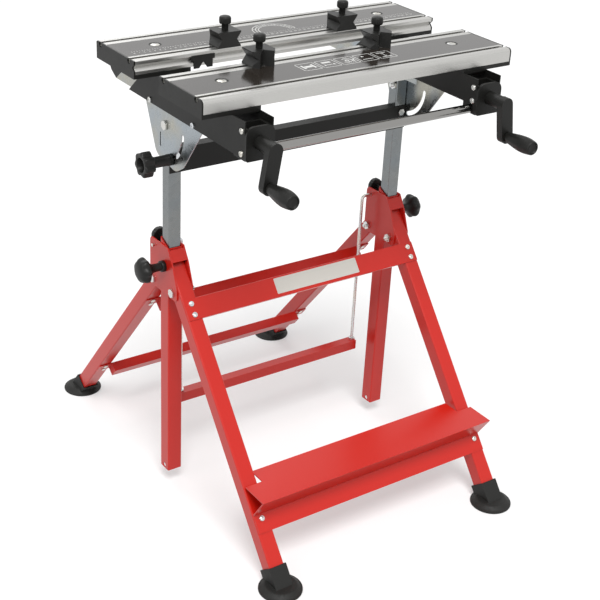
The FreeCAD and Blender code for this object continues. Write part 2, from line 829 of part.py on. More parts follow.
def slide_plugs():
    """Moulded plug in each slide's tail, with the neck that rises through the beam's slot."""
    piece = body("slide_plug_right")
    tail, tail_top = s.slide_tail, s.slide_tail - s.slide_tail_rise
    add(piece, "x", slide_inner, slide_outer,
        outline((tail, slide_bottom), (tail + s.plug_nose, slide_bottom + s.plug_nose * nose_share, s.plug_nose / 2),
                (tail + s.plug_nose, slide_top - s.plug_nose / 2, s.plug_nose / 2),
                (tail - s.plug_nose, slide_top), (tail_top, slide_top)))
    wall = s.slide_wall
    back = s.plug_insert
    inside = tail_top + s.slide_tail_rise * wall / s.slide_height
    add(piece, "x", slide_inner + wall, slide_outer - wall,
        outline((tail - back, slide_bottom), (tail, slide_bottom), (inside, slide_top - wall),
                (inside - back, slide_top - wall)))
    half = s.neck_width / 2
    add(piece, "z", slide_top, shoe_bottom, block(spindle_x - half, s.neck_front, spindle_x + half, s.neck_back))
    cut(piece, "z", slide_top - over, shoe_bottom + over,
        ring(jaw_screw_x, rear_jaw_front + s.jaw_screw_inset, s.jaw_screw_radius + s.bolt_fit))
    cut(piece, "y", tail_top - back - over, tail, ring(spindle_x, spindle_z, s.spindle_radius + s.edge * 2))
    return pair("slide_plugs", piece)


def spindle_nuts():
    piece = body("spindle_nut_right")
    wall = s.slide_wall
    add(piece, "x", slide_inner + wall, slide_outer - wall,
        block(-s.nut_place - s.nut_length, spindle_z - s.nut_height / 2, -s.nut_place, slide_top - wall))
    cut(piece, "y", -s.nut_place - s.nut_length - over, -s.nut_place + over,
        ring(spindle_x, spindle_z, s.spindle_radius + s.running_fit))
    return pair("spindle_nuts", piece)


def groove_clip():
    """Two-legged clip on the rear jaw's face, held by its tongue in the groove."""
    piece = body("groove_clip")
    middle = top - s.jaw_height / 2
    centre, half = s.clip_inset - jaw_end, s.clip_length / 2
    high = top - s.clip_drop
    wing, low, notch = high - s.clip_wing, high - s.clip_height, high - s.clip_notch
    leg, foot_in = half - s.clip_leg_inset, s.clip_leg_foot
    add(piece, "y", rear_jaw_front - s.clip_stand, rear_jaw_front,
        outline((centre - half, high), (centre - half, wing), (centre - leg, wing), (centre - leg, low),
                (centre - foot_in, low), (centre, notch), (centre + foot_in, low), (centre + leg, low),
                (centre + leg, wing), (centre + half, wing), (centre + half, high)))
    add(piece, "x", centre - leg, centre + leg,
        outline((rear_jaw_front, middle - s.groove_height / 2), (rear_jaw_front + s.groove_depth, middle),
                (rear_jaw_front, middle + s.groove_height / 2)))
    return piece


# Spindles, cranks and grips

def spindle(label, side):
    piece = doc.addObject("Part::Cylinder", label)
    piece.Label = label
    bind(piece, "Radius", s.spindle_radius)
    bind(piece, "Height", s.spindle_end - crank_back)
    return place(piece, spindle_x * side, crank_back, spindle_z, *facing["+y"])


def crank(label, side):
    """Crank seen along its spindle: a round hub, a flat arm and the pin that carries the grip."""
    piece = body(label)
    hub_end = crank_back - s.crank_hub_length
    arm_end = hub_end - s.crank_arm_thickness
    add(piece, "y", hub_end, crank_back, ring(zero, zero, s.crank_hub_radius))
    add(piece, "y", arm_end, hub_end, long_hole(zero, zero, zero, -s.crank_arm, s.crank_arm_width / 2))
    add(piece, "y", arm_end - s.grip_length + s.grip_neck, arm_end, ring(zero, -s.crank_arm, s.grip_pin))
    return place(piece, spindle_x * side, zero, spindle_z, y_axis, s.crank_lean * -side)


def grip(label, side):
    """Barrel grip that turns on the crank's pin."""
    piece = body(label)
    length, fit = s.grip_length, s.running_fit
    turned(piece, (zero, zero), (s.grip_neck, zero), (s.grip_radius - s.edge, length * waist_share),
           (s.grip_radius, length * barrel_share), (s.grip_radius - s.edge, length * shoulder_share),
           (s.grip_end, length - s.edge * 2), (s.grip_end - s.edge * 2, length), (zero, length))
    cut(piece, "z", -over, length - s.grip_neck + s.side_gap, ring(zero, zero, s.grip_pin + fit))
    start = crank_back - s.crank_hub_length - s.crank_arm_thickness - s.side_gap
    x = spindle_x + s.crank_arm * sine(s.crank_lean)
    return place(piece, x * side, start, spindle_z - s.crank_arm * cosine(s.crank_lean), *facing["-y"])


# Bench dogs in the T-slots, each with its clamping knob

def dog(label, x, y, turn):
    """Block with one flat side, a V-groove in the other and one in both ends, and its nut plate."""
    piece = body(label + "_block")
    half, high = s.dog_width / 2, s.dog_height
    middle, lip = high / 2, s.dog_lip_spread
    add(piece, "z", zero, high,
        outline((-half, s.dog_flat), (-half, -s.dog_shoulder), (-lip, -s.dog_lip), (zero, -s.dog_groove),
                (lip, -s.dog_lip), (half, -s.dog_shoulder), (half, s.dog_flat)))
    cut(piece, "y", -s.dog_lip - over, s.dog_flat + over,
        *[outline((half * end, middle - s.dog_notch), ((half - s.dog_notch_depth) * end, middle),
                  (half * end, middle + s.dog_notch)) for end in (1, -1)])
    mouth = s.slot_opening / 2 - s.side_gap
    add(piece, "z", -s.slot_lip, zero, block(-half, -mouth, half, mouth))
    cut(piece, "z", -s.slot_lip - over, high + over, ring(zero, zero, s.dog_bolt_radius + s.running_fit))
    plate = body(label + "_nut")
    wide = s.slot_width / 2 - s.side_gap
    low = -s.slot_lip - s.side_gap - s.dog_nut_height
    nut_half = s.dog_nut_length / 2
    add(plate, "z", low, -s.slot_lip - s.side_gap, block(-nut_half, -wide, nut_half, wide))
    cut(plate, "z", low - over, zero, ring(zero, zero, s.dog_bolt_radius + s.running_fit))
    for item in (piece, plate):
        place(item, x, y, top, FreeCAD.Vector(0, 0, 1), turn)
    return group(label, piece, plate)


def dog_screw(label, x, y):
    """Round knob, neck and bolt of one dog."""
    piece = body(label)
    high = s.dog_height + s.side_gap
    knob_low = high + s.dog_neck_height
    knob_top = knob_low + s.dog_knob_height
    low = -s.slot_lip - s.side_gap - s.dog_nut_height
    turned(piece, (zero, low), (s.dog_bolt_radius, low), (s.dog_bolt_radius, high), (s.dog_neck_radius, high),
           (s.dog_neck_radius, knob_low), (s.dog_knob_radius - s.edge * 2, knob_low),
           (s.dog_knob_radius, knob_low + s.edge * 2), (s.dog_knob_radius, knob_top - s.edge),
           (s.dog_knob_radius - s.edge * 2, knob_top), (zero, knob_top))
    return place(piece, x, y, top)


# Mast: two columns, the cross channel between them and the tilt knob

def square_tube(piece, half, wall, low, high):
    """Hollow square tube with round corners, standing on the columns' centre line."""
    loops = []
    for reach, radius in ((half, s.tube_corner), (half - wall, s.tube_corner - wall)):
        near, far = column_x - reach, column_x + reach
        loops.append(outline((near, -reach, radius), (far, -reach, radius), (far, reach, radius),
                             (near, reach, radius)))
    return add(piece, "z", low, high, *loops)


def mitre(piece, half, at_front, at_back, high):
    """Cuts a tube's top along the line between two heights, at its front and its back face."""
    lean = (at_back - at_front) / (half * 2)
    cut(piece, "x", column_x - half - over, column_x + half + over,
        outline((-half - over, at_front - lean * over), (half + over, at_back + lean * over),
                (half + over, high + over), (-half - over, high + over)))


def columns():
    piece = body("column_right")
    half, inner = half_column, half_column - s.column_wall
    square_tube(piece, half, s.column_wall, s.column_bottom, column_top)
    cut(piece, "x", column_x - half - over, column_x + half + over,
        ring(pivot_y, pivot_z, s.pivot_radius + s.bolt_fit))
    cut(piece, "y", -half - over, -inner + over,
        ring(column_x, pivot_z - s.tab_bolt_drop, s.tab_bolt_radius + s.bolt_fit))
    return pair("columns", piece)


def cross_channel():
    """Pressed channel on the columns' front faces, with a lug on the left for the tilt knob's bolt."""
    piece = body("cross_channel")
    wall = s.channel_wall
    high = pivot_z - s.channel_drop
    low = high - s.channel_height
    face = -half_column
    reach = column_x + half_column - s.side_gap
    between = column_x - half_column - s.side_gap
    add(piece, "y", face - wall, face, block(-reach, low, reach, high))
    add(piece, "y", face, face + s.channel_flange, block(-between, low, between, low + wall),
        block(-between, high - wall, between, high))
    add(piece, "x", -reach, -reach + wall,
        block(face - s.lug_reach, knob_z - s.lug_height / 2, face, knob_z + s.lug_height / 2))
    cut(piece, "x", -reach - over, -reach + wall + over, ring(knob_y, knob_z, s.knob_bolt_radius + s.bolt_fit))
    x, z = column_x, pivot_z - s.tab_bolt_drop
    hole = s.tab_bolt_radius + s.bolt_fit
    cut(piece, "y", face - wall - over, face + over, ring(x, z, hole), ring(-x, z, hole))
    return piece


def mast_bolts():
    """Pivot bolts through the columns, bolts of the channel's tabs, and the tilt knob's bolt."""
    nut = s.pivot_radius + s.bolt_head_step
    wide = column_x + half_column
    pivot = fastener("pivot_bolt", hollow_outer + s.side_gap, pivot_y, pivot_z, "+x",
                     ("round", s.pivot_radius, -(hollow_outer - wide) - s.column_width - s.bolt_nut, s.edge),
                     ("hex", nut, zero, s.bolt_head),
                     ("hex", nut, -(hollow_outer - wide) - s.column_width - s.bolt_nut - s.side_gap,
                      -(hollow_outer - wide) - s.column_width - s.side_gap))
    small = s.tab_bolt_radius + s.bolt_head_step
    depth = s.channel_wall + s.column_wall
    tab = fastener("tab_bolt", column_x, -half_column - s.channel_wall, pivot_z - s.tab_bolt_drop, "-y",
                   ("round", s.tab_bolt_radius, -depth - s.bolt_head, s.edge), ("hex", small, zero, s.bolt_head),
                   ("hex", small, -depth - s.bolt_head, -depth))
    right = group("mast_bolts_right", pivot, tab)
    inner = -wide + s.side_gap + s.channel_wall
    clamp = fastener("clamp_bolt", inner, knob_y, knob_z, "-x",
                     ("round", s.knob_bolt_radius + s.bolt_head_step / 2, -s.screw_dome, zero),
                     ("round", s.knob_bolt_radius, -s.edge, s.knob_neck_length))
    return group("mast_bolts", right, mirrored(right, "mast_bolts_left"), clamp)


def tilt_knob():
    """Star knob with a hollow end: its neck presses the left plate against the lug."""
    piece = body("tilt_knob")
    neck, full = s.knob_neck_length, s.knob_neck_length + s.star_thickness
    turned(piece, (zero, zero), (s.knob_neck_radius, zero), (s.knob_neck_radius, neck),
           (s.star_radius - s.edge * 3, neck), (s.star_radius, neck + s.edge * 3),
           (s.star_radius, full - s.edge * 3), (s.star_radius - s.edge * 3, full), (zero, full))
    scallops(piece, neck - s.edge / 2, full + over, s.star_radius + s.star_notch / 2, s.star_notch, star_points)
    cut(piece, "z", -over, neck, ring(zero, zero, s.knob_bolt_radius + s.running_fit))
    cut(piece, "z", neck + s.star_thickness / 2, full + over, ring(zero, zero, s.knob_neck_radius))
    return place(piece, -hollow_outer - s.side_gap, knob_y, knob_z, *facing["-x"])


# Base frame: tubes, brackets, front legs, panel, step and feet

def tube():
    piece = body("tube_right")
    half, inner = half_tube, half_tube - s.tube_wall
    square_tube(piece, half, s.tube_wall, s.tube_bottom, tube_back_top)
    mitre(piece, half, tube_front_top, tube_back_top, tube_back_top)
    cut(piece, "x", column_x - half - over, column_x + half + over,
        ring(zero, s.tube_hole_height, s.tube_hole_radius))
    cut(piece, "x", column_x + inner - over, column_x + half + over,
        ring(pivot_y, height_knob_z, s.height_screw_radius + s.running_fit))
    cut(piece, "y", inner - over, half + over,
        ring(column_x, rear_knob_z, s.rear_screw_radius + s.running_fit))
    return piece


def bracket():
    """Two cheeks joined by a short band in front; they hold the tube, both legs and the rod."""
    piece = body("bracket_right")
    centre = s.bracket_height
    upper, lower = centre + s.bracket_top, centre - s.bracket_bottom
    band_low = centre + s.band_bottom
    radius = s.bracket_radius
    cheek = [(s.bracket_back, lower, s.edge * 2), (s.bracket_back, upper, radius),
             (-s.band_top, upper, s.edge * 2), (-s.band_back, band_low, radius),
             (-s.bracket_front, centre + s.bracket_bottom, radius), (-s.bracket_front, lower, radius)]
    add(piece, "x", cheek_outer, cheek_outer + s.bracket_sheet, outline(*cheek))
    add(piece, "x", cheek_inner - s.bracket_sheet, cheek_inner, outline(*cheek))
    sheet_y = s.bracket_sheet
    add(piece, "x", cheek_inner, cheek_outer,
        outline((-s.band_top - sheet_y, upper - sheet_y * 2), (-s.band_top, upper - sheet_y * 2),
                (-s.band_back + sheet_y * 2, band_low + sheet_y), (-s.band_back + sheet_y, band_low + sheet_y)))
    everywhere = (cheek_inner - s.bracket_sheet - over, cheek_outer + s.bracket_sheet + over)
    bolt = s.leg_bolt_radius + s.bolt_fit
    cut(piece, "x", *everywhere, ring(-s.leg_bolt_forward, centre, bolt), ring(s.rear_pivot_back, centre, bolt),
        ring(s.rod_back, rod_height, s.rod_radius + s.running_fit))
    cut(piece, "x", cheek_outer - s.edge, cheek_outer + s.bracket_sheet + over,
        ring(pivot_y, height_knob_z, s.height_screw_radius + s.running_fit))
    return piece


def in_front_leg(piece):
    """The front leg's own frame: its Z axis runs up along the leg's middle line."""
    return place(piece, zero, -s.leg_forward, s.bracket_height, x_axis, -s.front_leg_angle)


def in_rear_leg(piece):
    """The rear leg's own frame, with its origin on the leg's hinge."""
    return place(piece, zero, s.rear_pivot_back, s.bracket_height, x_axis, s.rear_leg_angle)


front_leg_length = (s.bracket_height - s.leg_end_height) / cosine(s.front_leg_angle)
rear_leg_length = (s.bracket_height - s.leg_end_height) / cosine(s.rear_leg_angle)
lower_bar_drop = rear_leg_length - s.lower_bar_rise
panel_screws = [-s.panel_drop + s.panel_screw_spread / 2, -s.panel_drop - s.panel_screw_spread / 2]
step_bolt_height = s.step_height - s.step_bolt_drop
step_screw = (step_bolt_height - s.bracket_height) / cosine(s.front_leg_angle)


def front_leg():
    """Its top end is mitred upright, against the front of the tube."""
    piece = body("front_leg_right")
    reach = s.leg_forward - half_tube - s.side_gap
    slope, run = sine(s.front_leg_angle), cosine(s.front_leg_angle)
    highest = (reach + half_leg * run) / slope
    square_tube(piece, half_leg, s.leg_wall, -front_leg_length, highest)
    mitre(piece, half_leg, highest, (reach - half_leg * run) / slope, highest)
    along = s.leg_forward - s.leg_bolt_forward
    cut(piece, "x", column_x - half_leg - over, column_x + half_leg + over,
        ring(along * run, along * slope, s.leg_bolt_radius + s.bolt_fit))
    cut(piece, "y", -half_leg - over, half_leg + over,
        *[ring(column_x, z, screw_hole) for z in panel_screws + [step_screw]])
    return in_front_leg(piece)


def rear_leg():
    piece = body("rear_leg_right")
    half = half_leg - s.side_gap
    square_tube(piece, half, s.leg_wall, -rear_leg_length, s.rear_leg_top)
    cut(piece, "x", column_x - half - over, column_x + half + over,
        ring(zero, zero, s.leg_bolt_radius + s.running_fit))
    cut(piece, "y", -half - over, zero, *[ring(column_x, z, screw_hole) for z in bar_screws])
    return in_rear_leg(piece)


bar_screws = [-drop - sign for drop in (s.upper_bar_drop, lower_bar_drop)
              for sign in (s.bar_height / 2 - s.bar_screw_spread / 2, s.bar_height / 2 + s.bar_screw_spread / 2)]


def front_panel():
    """Pressed plate across the front legs, with its long edges folded back between them."""
    piece = body("front_panel")
    half, sheet_in = column_x + s.panel_overhang, s.panel_sheet
    face = -half_leg
    low, high = -s.panel_drop - s.panel_height / 2, -s.panel_drop + s.panel_height / 2
    between = cheek_inner - s.edge
    add(piece, "y", face - sheet_in, face,
        outline((-half, low, s.edge), (half, low, s.edge), (half, high, s.edge), (-half, high, s.edge)),
        *[ring(x, z, screw_hole) for x in (column_x, -column_x) for z in panel_screws])
    add(piece, "y", face - s.edge, face + s.panel_flange, block(-between, low, between, low + sheet_in),
        block(-between, high - sheet_in, between, high))
    return in_front_leg(piece)


def step():
    """Folded step: the tread lies between and before the legs, its flange on their front faces."""
    piece = body("step")
    half, inner = column_x + s.step_overhang, column_x - s.step_inset
    thick = s.step_sheet

    def face(z):
        rise = s.bracket_height - z
        return -s.leg_forward - rise * sine(s.front_leg_angle) / run - half_leg / run

    run = cosine(s.front_leg_angle)
    skin = thick / run
    bend, low = s.step_height - s.step_bend_drop, s.step_height - s.step_drop
    tread = face(s.step_height)
    front, back = tread - s.step_reach, tread + s.step_insert
    add(piece, "x", -half, half,
        outline((back, s.step_height), (front, s.step_height), (face(bend) - skin, bend),
                (face(low) - skin, low), (face(low), low), (face(bend), bend + s.edge),
                (front + thick * 2, s.step_height - thick), (back, s.step_height - thick)))
    lip = tread - s.edge * 10
    for side in (inner, -half - over):
        cut(piece, "z", s.step_height - thick - over, s.step_height + over,
            block(side, lip, side + half - inner + over, zero))
    return piece


def step_screw_holes(piece):
    cutter = [fastener("step_hole", column_x * side, zero, step_screw, "-y",
                       ("round", screw_hole, half_leg - s.panel_flange, half_leg * 2)) for side in (1, -1)]
    holes = group("step_holes", *cutter)
    in_front_leg(holes)
    return holes


def front_foot():
    return foot("front_foot_right", s.leg_forward, s.front_leg_angle, front_leg_length, -1)


def foot(label, offset, angle, length, side):
    """Round pad with a square sleeve for the leg's end, leaning as the leg does."""
    piece = body(label + "_sleeve")
    slope, run = sine(angle), cosine(angle)
    centre = (offset + s.bracket_height * slope / run) * side
    half = half_leg + s.sleeve_wall

    def at(across, along):
        """The place of a point of the leg's frame: across it to the inside, and along it upwards."""
        return (offset * side - across * run * side - along * slope * side,
                s.bracket_height - across * slope + along * run)

    upper = -length + s.sleeve_length
    base = s.foot_edge
    reach = half / run
    drop = (s.bracket_height - base) * slope / run
    low_front, low_back = (offset + drop + reach) * side, (offset + drop - reach) * side
    add(piece, "x", column_x - half, column_x + half,
        outline((low_front, base), (low_back, base), at(half, upper), at(-half, upper)))
    cut(piece, "x", column_x - half_leg, column_x + half_leg,
        outline(at(-half_leg, -length), at(half_leg, -length), at(half_leg, upper + over * 2),
                at(-half_leg, upper + over * 2)))
    rim = doc.addObject("Part::Cylinder", label + "_rim")
    bind(rim, "Radius", s.foot_radius)
    bind(rim, "Height", base)
    cone = doc.addObject("Part::Cone", label + "_cone")
    bind(cone, "Radius1", s.foot_radius - s.edge)
    bind(cone, "Radius2", s.foot_shoulder)
    bind(cone, "Height", s.foot_dome - base)
    place(rim, column_x, centre, zero)
    place(cone, column_x, centre, base)
    whole = doc.addObject("Part::MultiFuse", label)
    whole.Label = label
    whole.Shapes = [piece, rim, cone]
    return whole


# Rear bars, spreader bar and rods

def rear_bar(label, drop):
    """Channel between the rear legs, its folded ends screwed to their lower faces."""
    piece = body(label)
    thick = s.bar_sheet
    face = s.side_gap - half_leg
    back = face - s.bar_depth
    low, high = -drop - s.bar_height, -drop
    between = cheek_inner + s.side_gap
    outer = cheek_outer - s.side_gap
    add(piece, "x", -between, between,
        outline((back, low), (face, low), (face, low + thick), (back + thick, low + thick),
                (back + thick, high - thick), (face, high - thick), (face, high), (back, high)))
    for start, end in ((-between, -between + thick), (between - thick, between)):
        add(piece, "x", start, end, block(back, low, face, high))
    for start, end in ((-outer, -between + thick), (between - thick, outer)):
        add(piece, "y", face - thick, face, block(start, low, end, high))
    spots = [z for z in bar_screws if abs(value_of(z) + value_of(drop)) < value_of(s.bar_height)]
    cut(piece, "y", face - thick - over, face + over,
        *[ring(x, z, screw_hole) for x in (column_x, -column_x) for z in spots])
    return in_rear_leg(piece)


def rear_screws():
    face = s.side_gap - half_leg - s.bar_sheet
    screws = [fastener("rear_screw%d" % number, column_x, face, z, "-y",
                       ("round", s.screw_radius, -s.bar_sheet - s.leg_wall - s.edge, s.edge),
                       ("hex", s.screw_head, zero, s.screw_dome))
              for number, z in enumerate(bar_screws)]
    right = in_rear_leg(group("rear_screws_right", *screws))
    return pair("rear_screws", right)


def bail_rods():
    """Rod bent outwards at the top through the bracket's cheeks, with two nuts on the spreader bar."""
    piece = body("bail_rod_right")
    low = s.spreader_top - s.spreader_sheet - s.rod_end
    path = piece.newObject("Sketcher::SketchObject", "rod_path")
    plane = [item for item in piece.Origin.OriginFeatures if item.Role == "XZ_Plane"][0]
    path.AttachmentSupport = [(plane, "")]
    path.MapMode = "FlatFace"
    bind(path, "AttachmentOffset.Base.z", -s.rod_back)
    end = cheek_outer + s.bracket_sheet + s.rod_end
    x, z, bend = value_of(rod_x), value_of(rod_height), value_of(s.rod_bend)
    point = FreeCAD.Vector
    path.addGeometry(Part.LineSegment(point(x, value_of(low), 0), point(x, z - bend, 0)), False)
    path.addGeometry(Part.ArcOfCircle(Part.Circle(point(x + bend, z - bend, 0), point(0, 0, 1), bend),
                                      math.pi / 2, math.pi), False)
    path.addGeometry(Part.LineSegment(point(x + bend, z, 0), point(value_of(end), z, 0)), False)
    path.addConstraint(Sketcher.Constraint("Tangent", 0, 2, 1, 2))
    path.addConstraint(Sketcher.Constraint("Tangent", 1, 1, 2, 1))
    radius_is(path, 1, s.rod_bend)
    hold(path, 0, 1, rod_x, low)
    path.addConstraint(Sketcher.Constraint("Vertical", 0))
    hold(path, 2, 2, end, rod_height)
    pipe = piece.newObject("PartDesign::AdditivePipe", "rod_pipe")
    pipe.Profile = sketch_on(piece, "z", low, [ring(rod_x, s.rod_back, s.rod_radius)])
    pipe.Spine = (path, ["Edge1", "Edge2", "Edge3"])
    nut = s.rod_radius + s.bolt_head_step
    nuts = [fastener("rod_nut%d" % number, rod_x, s.rod_back, start, "+z", ("hex", nut, zero, s.bolt_nut))
            for number, start in enumerate((s.spreader_top, s.spreader_top - s.spreader_sheet - s.bolt_nut))]
    bored = []
    for item in nuts:
        bore = doc.addObject("Part::Cylinder", item.Name + "_bore")
        bind(bore, "Radius", s.rod_radius + s.bolt_fit)
        bind(bore, "Height", s.spreader_top)
        place(bore, rod_x, s.rod_back, s.spreader_top / 2)
        hollow = doc.addObject("Part::Cut", item.Name + "_hollow")
        hollow.Base, hollow.Tool = item, bore
        bored.append(hollow)
    return pair("bail_rods", group("bail_rods_right", piece, *bored))


def spreader_bar():
    piece = body("bail_bar")
    half, wide, thick = rod_x + s.spreader_overhang, s.spreader_width / 2, s.spreader_sheet
    low = s.spreader_top - s.spreader_width
    add(piece, "x", -half, half,
        outline((s.rod_back - wide, low), (s.rod_back - wide + thick, low),
                (s.rod_back - wide + thick, s.spreader_top - thick),
                (s.rod_back + wide - thick, s.spreader_top - thick), (s.rod_back + wide - thick, low),
                (s.rod_back + wide, low), (s.rod_back + wide, s.spreader_top), (s.rod_back - wide, s.spreader_top)))
    hole = s.rod_radius + s.bolt_fit
    cut(piece, "z", s.spreader_top - thick - over, s.spreader_top + over,
        ring(rod_x, s.rod_back, hole), ring(-rod_x, s.rod_back, hole))
    return piece


# Knobs on the base

def height_knob(label, side):
    """Mushroom knob on a long neck, its screw ending just before the column."""
    piece = body(label)
    start = s.side_gap + half_column
    tube_face = half_tube + s.bracket_sheet + s.side_gap
    neck = tube_face + s.height_knob_neck
    full = neck + s.height_knob_thickness
    radius, rim = s.height_knob_radius, s.edge * 3
    turned(piece, (zero, start), (s.height_screw_radius, start), (s.height_screw_radius, tube_face),
           (s.height_knob_collar, tube_face), (s.height_knob_collar, neck), (radius, neck + rim),
           (radius, full - rim * 3), (radius - rim * 3, full), (zero, full))
    scallops(piece, neck, full + over, radius + rim, rim * 2, knob_points)
    return place(piece, column_x * side, pivot_y, height_knob_z, *facing["+x" if side > 0 else "-x"])


def rear_knob(label, side):
    piece = body(label)
    start = half_column + s.side_gap
    neck = half_tube + s.rear_knob_neck
    full = neck + s.rear_knob_thickness
    radius = s.rear_knob_radius
    turned(piece, (zero, start), (s.rear_screw_radius, start), (s.rear_screw_radius, neck),
           (radius - s.edge, neck), (radius, neck + s.edge), (radius, full - s.edge * 3),
           (radius - s.edge * 3, full), (zero, full))
    scallops(piece, neck - over, full + over, radius + s.edge * 2, s.edge * 3, knob_points)
    return place(piece, column_x * side, zero, rear_knob_z, *facing["+y"])


def base_bolts():
    """Leg bolts and hinge bolts through the brackets, and the screws of the panel and the step."""
    head = s.leg_bolt_radius + s.bolt_head_step
    width = s.tube_width + s.bracket_sheet * 2
    items = []
    for number, y in enumerate((-s.leg_bolt_forward, s.rear_pivot_back)):
        items.append(fastener("leg_bolt%d" % number, cheek_outer + s.bracket_sheet, y, s.bracket_height, "+x",
                              ("round", s.leg_bolt_radius, -width - s.bolt_nut, s.edge),
                              ("hex", head, zero, s.bolt_head), ("hex", head, -width - s.bolt_nut, -width)))
    for number, z in enumerate(panel_screws + [step_screw]):
        sheet_in = s.panel_sheet
        items.append(fastener("front_screw%d" % number, column_x, -half_leg - sheet_in, z, "-y",
                              ("round", s.screw_radius, -sheet_in - s.leg_width - s.bolt_nut / 2, s.edge),
                              ("round", s.screw_head, zero, s.screw_dome),
                              ("hex", s.screw_head, -sheet_in - s.leg_width - s.bolt_nut / 2,
                               -sheet_in - s.leg_width)))
    straight = group("leg_bolts", *items[:2])
    leaning = in_front_leg(group("front_screws", *items[2:]))
    return pair("base_bolts", group("base_bolts_right", straight, leaning))


def step_with_holes():
    plain = step()
    plain.Label = "step_plain"
    whole = doc.addObject("Part::Cut", "step")
    whole.Label = "step"
    whole.Base, whole.Tool = plain, step_screw_holes(plain)
    return whole


right_beam, right_plate, right_tube = beam(), tilt_plate(), tube()
right_bracket, right_front_leg, right_rear_leg = bracket(), front_leg(), rear_leg()
front_dog_y = front_jaw_back - s.back_slot_inset
rear_dog_y = rear_jaw_front + s.front_slot_inset
dog_spots = {"front_left": (-s.front_dog_left, front_dog_y, 0), "front_right": (s.front_dog_right, front_dog_y, 0),
             "rear_left": (-s.rear_dog_left, rear_dog_y, half_turn),
             "rear_right": (s.rear_dog_right, rear_dog_y, half_turn)}
nut_stage = ("hex", s.jaw_screw_head, slide_top - s.slide_wall - inlay_seat - s.bolt_nut,
             slide_top - s.slide_wall - inlay_seat)

parts = [
    right_beam, mirrored(right_beam, "beam_left"), housings(), housing_screws(), front_rail(),
    jaw("front_jaw", front_jaw_front, front_jaw_back, False), inlay("front_inlay", front_jaw_front),
    caps("front_caps", front_jaw_front, front_jaw_back, False),
    jaw_screws("front_jaw_screws", front_jaw_front, beam_web),
    right_plate, mirrored(right_plate, "tilt_plate_left"), plate_rivets(),
    slides(), slide_plugs(), spindle_nuts(), groove_clip(),
    jaw("rear_jaw", rear_jaw_front, rear_jaw_back, True), inlay("rear_inlay", rear_jaw_front),
    caps("rear_caps", rear_jaw_front, rear_jaw_back, True),
    jaw_screws("rear_jaw_screws", rear_jaw_front, slide_top - s.slide_wall - s.bolt_nut, nut_stage),
    columns(), cross_channel(), mast_bolts(), tilt_knob(),
    right_tube, mirrored(right_tube, "tube_left"), right_bracket, mirrored(right_bracket, "bracket_left"),
    right_front_leg, mirrored(right_front_leg, "front_leg_left"), front_panel(), step_with_holes(),
    base_bolts(), pair("front_feet", front_foot()),
    right_rear_leg, mirrored(right_rear_leg, "rear_leg_left"),
    rear_bar("upper_bar", s.upper_bar_drop), rear_bar("lower_bar", lower_bar_drop), rear_screws(),
    pair("rear_feet", foot("rear_foot_right", s.rear_pivot_back, s.rear_leg_angle, rear_leg_length, 1)),
    bail_rods(), spreader_bar(),
]
for name, (x, y, turn) in dog_spots.items():
    parts += [dog("dog_" + name, x, y, turn), dog_screw("dog_screw_" + name, x, y)]
for word, side in (("left", -1), ("right", 1)):
    parts += [spindle("spindle_" + word, side), crank("crank_" + word, side), grip("grip_" + word, side),
              height_knob("height_knob_" + word, side), rear_knob("rear_knob_" + word, side)]

doc.recompute()
failed = [item.Name for item in doc.Objects if {"Invalid", "Error"} & set(item.State)]
if failed:
    raise SystemExit("objects that failed: " + ", ".join(failed))
for part in parts:
    if part.Shape.isNull() or not part.Shape.isValid():
        raise SystemExit("bad shape: " + part.Label)
os.makedirs("parts", exist_ok=True)
for part in parts:
    part.Shape.exportStep("parts/%s.step" % part.Label)
    print("%-24s %2d solids %10.1f mm3" % (part.Label, len(part.Shape.Solids), part.Shape.Volume))
print(len(parts), "sub-parts")
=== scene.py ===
import bpy
import bmesh
import json
import math
from mathutils import Matrix, Vector


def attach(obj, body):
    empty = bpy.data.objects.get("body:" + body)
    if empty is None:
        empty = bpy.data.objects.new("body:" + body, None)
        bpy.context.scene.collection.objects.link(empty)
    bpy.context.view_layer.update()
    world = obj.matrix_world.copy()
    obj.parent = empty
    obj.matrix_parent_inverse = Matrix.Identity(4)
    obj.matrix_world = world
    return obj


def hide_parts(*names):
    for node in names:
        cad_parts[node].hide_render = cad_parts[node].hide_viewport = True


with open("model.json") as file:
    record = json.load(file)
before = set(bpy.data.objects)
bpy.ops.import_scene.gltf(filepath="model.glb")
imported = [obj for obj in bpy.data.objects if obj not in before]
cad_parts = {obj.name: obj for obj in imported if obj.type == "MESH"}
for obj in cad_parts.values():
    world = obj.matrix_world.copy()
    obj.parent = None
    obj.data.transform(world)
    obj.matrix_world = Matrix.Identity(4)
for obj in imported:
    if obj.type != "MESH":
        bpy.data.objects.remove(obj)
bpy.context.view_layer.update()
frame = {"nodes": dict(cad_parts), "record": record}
mm = 0.001


# node helpers for the materials

def newMaterial(name):
    material = bpy.data.materials.new(name)
    material.use_nodes = True
    return material, material.node_tree, material.node_tree.nodes["Principled BSDF"]


def addNode(tree, kind, sockets=None, **settings):
    # each socket is given another node's output, which is linked, or a plain value
    node = tree.nodes.new(kind)
    for key, value in settings.items():
        setattr(node, key, value)
    for socket, value in (sockets or {}).items():
        if hasattr(value, "is_linked"):
            tree.links.new(value, node.inputs[socket])
        else:
            node.inputs[socket].default_value = value
    return node


def maths(tree, operation, *values):
    node = addNode(tree, "ShaderNodeMath", dict(enumerate(values)), operation=operation)
    return node.outputs[0]


def scaledColour(tree, colour, factor):
    # the fourth socket of the node is its scale
    node = addNode(tree, "ShaderNodeVectorMath", {0: colour, 3: factor}, operation="SCALE")
    return node.outputs[0]


